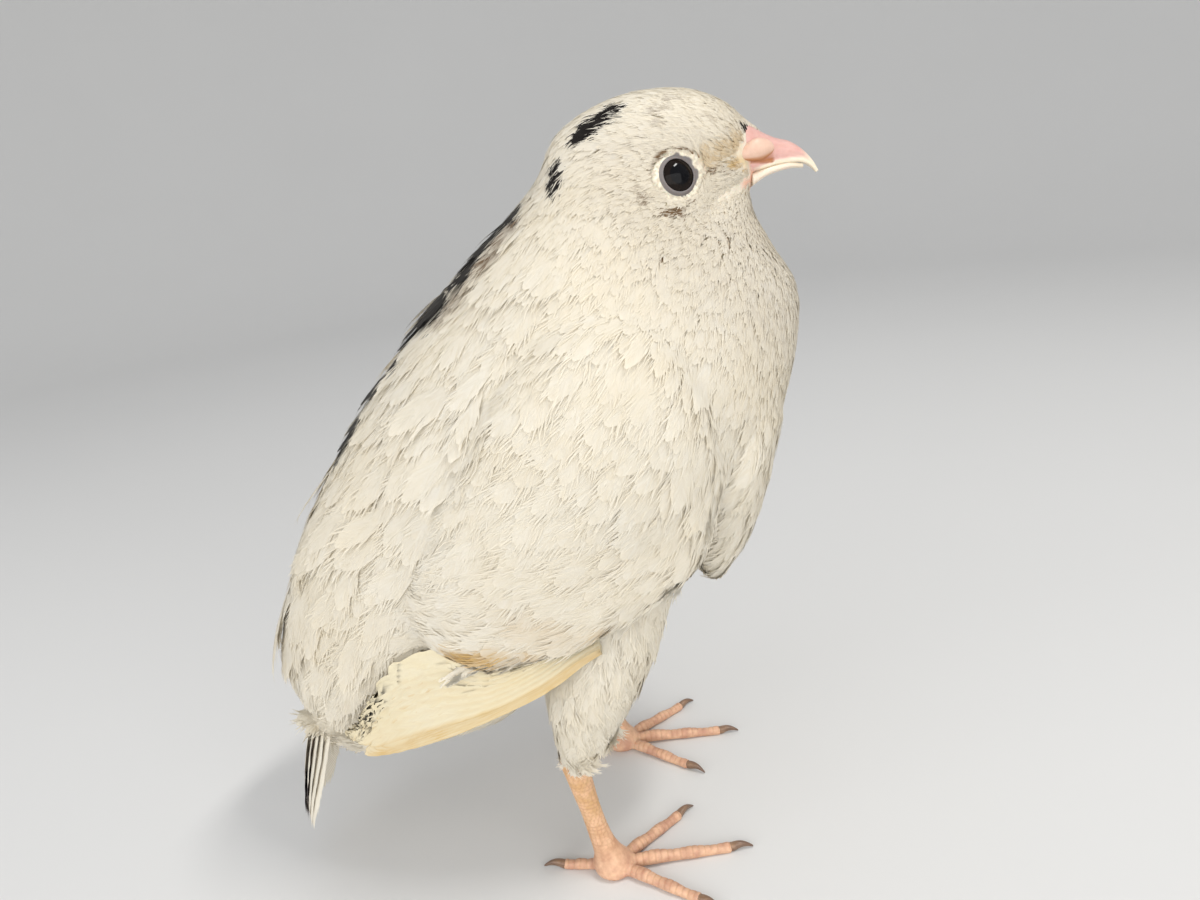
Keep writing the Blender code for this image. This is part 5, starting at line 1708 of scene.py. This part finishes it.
def make_flight(side, word, mat, rng):
    """The folded primaries and secondaries, each a long web lying on the next."""
    flat = np.array([[u[0], u[1], l[0], l[1], h] for u, l, h in FLIGHT])
    fine = catmull(flat, np.linspace(0, 6, 61))

    def place(f, v):
        ux, uz, lx, lz, hang = np.moveaxis(catmull(flat, np.asarray(f) * 6), -1, 0)
        x, z = ux + (lx - ux) * v, uz + (lz - uz) * v
        upper = flank(ux, uz)
        chord = upper + (hang - upper) * np.clip(v, 0, 1) ** 0.8 - 0.5 * (1 - v)
        lie = flank(x, z) + GAP + 0.12
        return np.stack([x, side * (np.logaddexp(lie, chord) + 0.15), z], -1)

    rows, cols = 46, 13
    t = np.linspace(0, 1, rows)[:, None]
    c = np.linspace(0, 1, cols)[None, :]
    verts, quads, vanes, uvs, mks = [], [], [], [], []
    base = 0
    plan = []
    for i in range(6):
        # the primaries, from the outermost and lowest
        plan.append((-0.02, (0.865, 0.858, 0.85, 0.835, 0.81, 0.78)[i], 0.995 - i * 0.012, 0.030 * i, 0.94 - 0.07 * i, 0.30, 0.25 + 0.15 * i, 0.14))
    for j in range(6):
        # the secondaries and tertials over them
        plan.append((-0.02 + 0.02 * j, (0.80, 0.885, 0.94, 0.975, 0.99, 0.995)[j], 0.82 - 0.12 * j, 0.02, (0.72, 0.52, 0.34, 0.20, 0.10, 0.03)[j], 0.40, 1.30 + 0.10 * j, 0.30))
    for i, (f0, f1, low, bow, tip, wide, lift, shaft_at) in enumerate(plan):
        f = f0 + (f1 - f0) * t
        v_lo = low - bow * np.sin(np.pi * np.clip(t * 1.05, 0, 1))
        v_up = v_lo - wide
        close = 1 - np.sqrt(np.maximum(1 - (np.clip(t - 0.84, 0, 1) / 0.16) ** 2.2, 0))
        v_lo = v_lo + (tip - v_lo) * close
        v_up = v_up + (tip - v_up) * close
        # fine nicks in the web's edge
        nick = 0.006 * value_noise(np.stack([t[:, 0] * 160, np.full(rows, i * 7.0), np.zeros(rows)], -1), 1.0, 3)[:, None]
        v = v_lo + (v_up - v_lo) * c + nick * (1 - c) * (1 - close)
        P = place(np.broadcast_to(f, v.shape), v)
        E1 = place(np.broadcast_to(f, v.shape) + 0.004, v) - P
        E2 = place(np.broadcast_to(f, v.shape), v + 0.02) - P
        N = unit(np.cross(E1, E2))
        N *= np.sign(N[..., 1:2] * side)
        h = lift + 0.10 * np.sin(np.pi * c) - 0.10 * (1 - c) ** 3 + 0.13 * np.exp(-(((c - shaft_at) / 0.035) ** 2)) * (1 - 0.8 * t)
        h = h - 0.9 * smooth(0.14, 0.0, t) - 0.8 * smooth(0.12, -0.25, v) + 0.02 * value_noise(P, 2.2, 4) + 0.5 * smooth(0.72, 0.92, f)
        V = P + N * h[..., None]
        k = np.arange(rows * cols).reshape(rows, cols)
        q = np.stack([k[:-1, :-1], k[1:, :-1], k[1:, 1:], k[:-1, 1:]], -1).reshape(-1, 4)
        a, b, d = V[0, 0], V[1, 0], V[1, 1]
        if np.dot(np.cross(V[11, 5] - V[10, 5], V[10, 6] - V[10, 5]), N[10, 5]) < 0:
            q = q[:, ::-1]
        along = np.concatenate([np.zeros((1, cols)), np.cumsum(np.linalg.norm(np.diff(P, axis=0), axis=2), axis=0)])
        wide_mm = np.linalg.norm(P[:, -1] - P[:, 0], axis=1)[:, None]
        across = (c - shaft_at) * wide_mm
        shaft = np.exp(-(((c - shaft_at) / 0.05) ** 2)) * (1 - t) + 0 * v
        # each web's tip is stained yellow-brown in its own colour; its lower edge is partly yellow-brown rim, partly a
        # painted shadow line where it overlaps the feather below
        rim = smooth(0.16, 0.0, c) * 0.55 + 0.18 * smooth(0.7, 1.0, t)
        stain = np.clip(0.42 * shaft + rim * (0.8 + 0.4 * value_noise(P, 3.0, 2)) + (0.10 if i < 6 else 0.0), 0, 1)
        verts.append(V.reshape(-1, 3))
        vanes.append(np.stack([across, along, np.full_like(across, rng.random())], -1).reshape(-1, 3))
        mk = marks(V.reshape(-1, 3), 0.0) * np.array([0.0, 0.3, 0.5])
        mk[:, 2] = np.maximum(mk[:, 2], stain.ravel())
        mks.append(mk)
        quads.append(q + base)
        st, tu = station(P[0, :1])
        root = uv_of(P[0, :1], st, tu, np.zeros(1), np.full(1, side))[0] + np.array([0.0, 0.004 * i])
        uvs.append(root + np.stack([np.broadcast_to(c - 0.5, v.shape) * 0.0024, np.broadcast_to(t - 0.5, v.shape) * 0.0028], -1).reshape(-1, 2))
        base += rows * cols
    return mesh_object("flight_" + word, np.vstack(verts), np.vstack(quads), None, mat, attrs={"vane": np.vstack(vanes), "mark": np.vstack(mks)}, uv=np.vstack(uvs))


def make_tail(mat, rng):
    """Nine short tail feathers hanging in a narrow fan."""
    flat = np.array([[t[0], t[1], b[0], b[1], w] for t, b, w in TAIL])
    verts, quads, tris, vanes, uvs, mks = [], [], [], [], [], []
    base = 0
    order = [-4, 4, -3, 3, -2, 2, -1, 1, 0]
    for layer, j in enumerate(order):
        y = j / 4.0
        s = np.linspace(0.0, 4.0 - 0.35 * abs(y) - 0.25 * rng.random(), 7)
        tx, tz, bx, bz, w = catmull(flat, s).T
        depth = 1 - layer / (len(order) - 1)  # 0 topmost
        arch = 0.55 * abs(y) ** 2
        k = 0.10 + 0.45 * depth + 0.15 * arch
        x, z = tx + (bx - tx) * k, tz + (bz - tz) * k
        pts = np.stack([x, w * y * 0.86, z], -1)
        nn = unit(np.stack([tx - bx, 0.5 * w * y * 0.6, tz - bz], -1))
        rows, cols = 24, 9
        V, Q, A, t, u = quill(pts, nn, 6.6, rows, cols, 0.0, rng, long_round, 0.0, 0.07)
        bv, bt, bA = edge_barbs(V, A, rows, cols, 60, 1.8, rng)
        n = len(V) + len(bv)
        # white webs; the uppermost carry a slate streak and a rufous tip, one below a thin brown one
        if abs(j) <= 1:
            pat = smooth(0.50, 0.66, t + 0.06 * np.abs(u)) * (1.0 - 0.75 * smooth(0.93, 1.0, t)) * (0.55 + 0.45 * (np.abs(u) < 0.85))
            tip = smooth(0.86, 1.0, t) * 0.9
        elif abs(j) == 3:
            pat = smooth(0.55, 0.72, t) * smooth(0.1, 0.5, u * (1 if j > 0 else -1)) * 0.7
            tip = 0.75 * smooth(0.6, 0.8, t) * smooth(-0.1, 0.4, u * (1 if j > 0 else -1))
        else:
            pat = 0.12 + 0.18 * smooth(0.75, 0.95, t)
            tip = 0.25 * smooth(0.85, 1.0, t)
        last = len(V)
        m1 = np.stack([pat, tip, np.zeros_like(t)], -1)
        m2 = np.tile([0.75, 0.45, 0.0] if abs(j) <= 1 else [0.15, 0.2, 0.0], (len(bv), 1))
        verts += [V, bv]
        vanes += [A, bA]
        mks += [m1, m2]
        quads.append(Q + base)
        tris.append(bt + base + last)
        root = np.array([0.37 + 0.008 * j, 0.012])
        uvs.append(np.vstack([root + np.stack([u * 0.0014, (t - 0.5) * 0.0028], -1), np.tile(root, (len(bv), 1))]))
        base += n
    return mesh_object("tail_fan", np.vstack(verts), np.vstack(quads), np.vstack(tris), mat, attrs={"vane": np.vstack(vanes), "mark": np.vstack(mks)}, uv=np.vstack(uvs))


# ---------------------------------------------------------------- bill, flaps, eyes, claws
def make_bill(mat):
    v, f = loft(section_rings(BILL_UPPER, 90, 72, 2.2, 5.0))
    # a groove along the cutting edge
    tip = smooth(40.2, 43.0, v[:, 0])
    bottom = np.interp(v[:, 0], [29.4, 31.7, 34.0, 36.3, 38.8, 40.9, 42.4, 43.4], [124.9, 125.2, 125.6, 126.0, 126.1, 125.9, 125.1, 124.0])
    h = v[:, 2] - bottom
    edge = smooth(1.15, 0.55, h) * smooth(31.0, 34.0, v[:, 0])
    groove = np.exp(-(((h - 1.15) / 0.22) ** 2)) * smooth(33.0, 35.0, v[:, 0]) * smooth(42.0, 40.0, v[:, 0])
    mid = np.array([0, 1.0, 0])
    v[:, 1] -= np.sign(v[:, 1]) * 0.14 * groove
    v[:, 1] += v[:, 1] * 0.03 * value_noise(v, 1.4, 5)
    # the nostril under the flap: dented, and darkened as painted shade below the flap's edge
    d1, _ = segment_distance(v * np.array([1, 1, 1]), (30.6, -4.2, 127.6), (35.2, -3.3, 127.0))
    d2, _ = segment_distance(v, (30.6, 4.2, 127.6), (35.2, 3.3, 127.0))
    nostril = np.maximum(smooth(0.75, 0.25, d1), smooth(0.75, 0.25, d2))
    v[:, 1] -= np.sign(v[:, 1]) * 0.35 * nostril
    a = mesh_object("bill_upper_horn", v, f, None, mat, attrs={"zone": np.stack([edge, tip, nostril], -1)})
    v, f = loft(section_rings(BILL_LOWER, 60, 60, 5.0, 2.2))
    z = np.zeros(len(v))
    b = mesh_object("bill_lower_horn", v, f, None, mat, attrs={"zone": np.stack([z + 0.75, smooth(38, 40.6, v[:, 0]), z], -1)})
    return a, b


def make_flap(side, word, mat):
    """The swollen flap over the nostril: a teardrop with its point towards the eye."""
    lon, lat = 56, 34
    turn = math.radians(FLAP_TILT)
    verts, low = [], []
    c = np.array([FLAP_AT[0] - 0.75, side * (FLAP_AT[1] + 0.62), FLAP_AT[2] - 0.05])
    for p in np.pi * np.arange(0, lat + 1) / lat:
        for q in 2 * np.pi * np.arange(lon) / lon:
            ex = -math.cos(p)  # -1 rear point, +1 front
            r = math.sin(p) * (0.55 + 0.45 * smooth(-1.0, 0.35, ex))
            x = 3.6 * ex
            y = 1.35 * r * math.cos(q)
            z = 2.05 * r * math.sin(q) + 0.25 * (1 - ex * ex)
            # the lower edge is straighter and rolls in
            z = z * (0.82 if z < 0 else 1.0)
            verts.append(c + np.array([x * math.cos(turn) + z * math.sin(turn), -x * 0.02 * side + y, -x * math.sin(turn) + z * math.cos(turn)]))
            # painted shade: the underside darkened towards orange-brown, partly the flap's own edge colour
            low.append(smooth(-0.45, -0.95, math.sin(q)) * (1 if y * side > -0.2 else 0.4) * min(1, r * 2))
    faces = [(i * lon + j, i * lon + (j + 1) % lon, (i + 1) * lon + (j + 1) % lon, (i + 1) * lon + j) for i in range(lat) for j in range(lon)]
    v = np.array(verts)
    # follow the narrowing bill
    v[:, 1] -= side * 0.27 * (v[:, 0] - c[0])
    bm = bmesh.new()
    ob = mesh_object("nasal_flap_" + word, v, faces, None, mat, attrs={"low": np.array(low)})
    bm.from_mesh(ob.data)
    bmesh.ops.remove_doubles(bm, verts=bm.verts, dist=1e-7)
    bmesh.ops.recalc_face_normals(bm, faces=bm.faces)
    bm.to_mesh(ob.data)
    bm.free()
    ob.data.shade_smooth()
    return ob


def make_eye(side, word, mat):
    c, n, u, w = eye_axes(side)
    lon, lat = 72, 48
    verts, iris = [], []
    for p in np.pi * np.arange(0, lat + 1) / lat:
        for q in 2 * np.pi * np.arange(lon) / lon:
            r = math.sin(p)
            verts.append(c + EYE_R * (r * math.cos(q) * u + r * math.sin(q) * w + math.cos(p) * n))
            iris.append(min(EYE_R * r / 3.1, 1.5) if p < math.pi / 2 else 1.5)
    faces = [(i * lon + j, i * lon + (j + 1) % lon, (i + 1) * lon + (j + 1) % lon, (i + 1) * lon + j) for i in range(lat) for j in range(lon)]
    ob = mesh_object("eyeball_" + word, np.array(verts), faces, None, mat, attrs={"iris": np.array(iris)})
    bm = bmesh.new()
    bm.from_mesh(ob.data)
    bmesh.ops.remove_doubles(bm, verts=bm.verts, dist=1e-7)
    bmesh.ops.recalc_face_normals(bm, faces=bm.faces)
    bm.to_mesh(ob.data)
    bm.free()
    ob.data.shade_smooth()
    return ob


def make_claw(name, base, yaw, start, radius, mat):
    ca, sa = math.cos(yaw), math.sin(yaw)
    rings, ts = [], []
    a = 2 * np.pi * (np.arange(28) + 0.5) / 28
    for t in np.linspace(-0.12, 1, 40):
        tt = max(t, 0)
        r = radius * (1 - tt) ** 0.8 + 0.15
        if t < 0:
            r *= 0.97
        d = start + CLAW * t
        z = radius * 1.02 + 0.55 * math.sin(math.pi * tt) * radius - 0.62 * radius * tt * tt
        across = 0.8 * r * np.cos(a) * (1 - 0.25 * (np.sin(a) < 0))
        up = z + r * np.sin(a) + 0.12 * r * np.cos(2 * a)
        rings.append(np.stack([base[0] + ca * d - sa * across, base[1] + sa * d + ca * across, np.maximum(up, 0.05)], -1))
        ts.append(np.full(28, tt))
    v, f = loft(rings)
    return mesh_object(name, v, f, None, mat, attrs={"tipward": np.concatenate(ts + [[0.0], [1.0]])})


# ---------------------------------------------------------------- stage, light, camera
def area_light(name, at, aim, size, power, colour=(1, 1, 1)):
    d = bpy.data.lights.new(name, "AREA")
    d.shape = "RECTANGLE"
    d.size, d.size_y = size
    d.energy = power
    d.color = colour
    o = bpy.data.objects.new(name, d)
    bpy.context.scene.collection.objects.link(o)
    o.location = at
    o.rotation_euler = (Vector(aim) - Vector(at)).to_track_quat("-Z", "Y").to_euler()
    return o


def make_stage():
    # a level floor whose far rim curves up all round
    profile = [(0.0, 0.0), (0.3, 0.0), (0.8, 0.0)] + [(0.8 + 0.7 * math.sin(q), 0.7 * (1 - math.cos(q))) for q in np.linspace(0.1, math.pi / 2, 14)] 
    n = 64
    verts = [(r * math.cos(2 * math.pi * j / n), r * math.sin(2 * math.pi * j / n), z) for r, z in profile[1:] for j in range(n)] + [(0, 0, 0)]
    faces = [((i + 1) * n + j, (i + 1) * n + (j + 1) % n, i * n + (j + 1) % n, i * n + j) for i in range(len(profile) - 2) for j in range(n)]
    faces += [(len(verts) - 1, j, (j + 1) % n) for j in range(n)]
    me = bpy.data.meshes.new("ground")
    me.from_pydata(verts, [], faces)
    me.shade_smooth()
    me.materials.append(floor_material())
    floor = bpy.data.objects.new("ground", me)
    bpy.context.scene.collection.objects.link(floor)
    sc = bpy.context.scene
    world = bpy.data.worlds.new("studio")
    sc.world = world
    world.use_nodes = True
    bg = world.node_tree.nodes["Background"]
    bg.inputs[0].default_value = (0.93, 0.94, 0.95, 1)
    bg.inputs[1].default_value = 0.61
    area_light("key", (0.27, -0.12, 0.66), (0.0, 0.0, 0.08), (0.20, 0.05), 1.8, (1.0, 0.985, 0.96))
    area_light("front", (0.22, -0.80, 0.22), (0.0, 0.0, 0.07), (1.1, 0.8), 6.3, (1.0, 0.99, 0.97))
    area_light("fill", (-0.60, -0.50, 0.25), (0.0, 0.0, 0.07), (0.7, 0.6), 2.9, (0.98, 0.985, 1.0))
    sc.view_settings.view_transform = "Standard"
    sc.view_settings.look = "None"


def make_camera():
    cam = bpy.data.cameras.new("photo")
    cam.sensor_width = 36.0
    cam.lens = 27.0
    cam.clip_start, cam.clip_end = 0.005, 20
    ob = bpy.data.objects.new("photo", cam)
    bpy.context.scene.collection.objects.link(ob)
    pitch, roll = math.radians(17.5), math.radians(7.5)
    fwd = np.array([0, math.cos(pitch), -math.sin(pitch)])
    right0 = np.cross(fwd, [0, 0, 1.0])
    right0 /= np.linalg.norm(right0)
    up0 = np.cross(right0, fwd)
    up = math.cos(roll) * up0 + math.sin(roll) * right0
    right = math.cos(roll) * right0 - math.sin(roll) * up0
    m = Matrix(((right[0], up[0], -fwd[0], -ORIGIN_X * MM), (right[1], up[1], -fwd[1], -0.162), (right[2], up[2], -fwd[2], 0.130), (0, 0, 0, 1)))
    ob.matrix_world = m
    bpy.context.scene.camera = ob
    cam.dof.use_dof = False


# ---------------------------------------------------------------- everything
def main():
    import time

    t0 = time.time()

    def lap(what):
        print(f"{time.time() - t0:6.1f} s  {what}", flush=True)

    coat_mat = feather_material("plumage", WHITE, CREAM, lie=True)
    flight_mat = feather_material("flight", (0.84, 0.77, 0.58), (0.78, 0.66, 0.40), 0.4, 0.8, 0.2)
    tail_mat = tail_material()
    skin_mat = skin_material()
    g = make_guide()
    lap(f"guide {len(g.v)}")
    label_fields(g)
    lap("fields")
    legs = []
    for side, _ in SIDES_OF:
        lv, _f, gv = leg_solid(side)
        legs.append((lv, gv))
    skin = skin_object(skin_mat, legs)
    lap(f"skin {len(skin.data.polygons)}")
    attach(skin, "root")
    nodes = ["trunk", "neck", "head"]
    for _, word in SIDES_OF:
        nodes += ["wing_" + word, "breast_lobe_" + word, "thigh_" + word, "shank_" + word]
        nodes += [f"toe_{t[0]}_{word}" for t in TOES]
    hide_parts(*nodes)
    for ob in make_coat(g, coat_mat):
        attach(ob, "root")
    lap("coat")
    rng = np.random.default_rng(21)
    for side, word in SIDES_OF:
        ob = make_flight(side, word, flight_mat, rng)
        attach(ob, "root")
        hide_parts("flight_feathers_" + word)
    tail = make_tail(tail_mat, rng)
    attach(tail, "root")
    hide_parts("tail")
    bill_mat = horn_material("bill_horn", "bill")
    up, lo = make_bill(bill_mat)
    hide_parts("bill_upper")
    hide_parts("bill_lower")
    flap_mat = horn_material("nasal_flap", "flap")
    claw_mat = horn_material("claw_horn", "claw")
    eye_mat = eye_material()
    for ob in (up, lo):
        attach(ob, "root")
    for side, word in SIDES_OF:
        ob = make_flap(side, word, flap_mat)
        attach(ob, "root")
        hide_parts("nostril_flap_" + word)
        ob = make_eye(side, word, eye_mat)
        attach(ob, "root")
        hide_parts("eye_" + word)
        dx = 0.0 if side < 0 else LEFT_FORWARD
        foot = (FOOT_X + dx, side * FOOT_Y)
        for name, yaw, start, length, radius in TOES:
            turn = math.radians(-side * yaw)
            ob = make_claw(f"claw_horn_{name}_{word}", foot, turn, start + length + GAP, 0.86, claw_mat)
            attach(ob, "root")
            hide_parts(f"claw_{name}_{word}")
    lap("rest")
    make_stage()
    make_camera()


main()
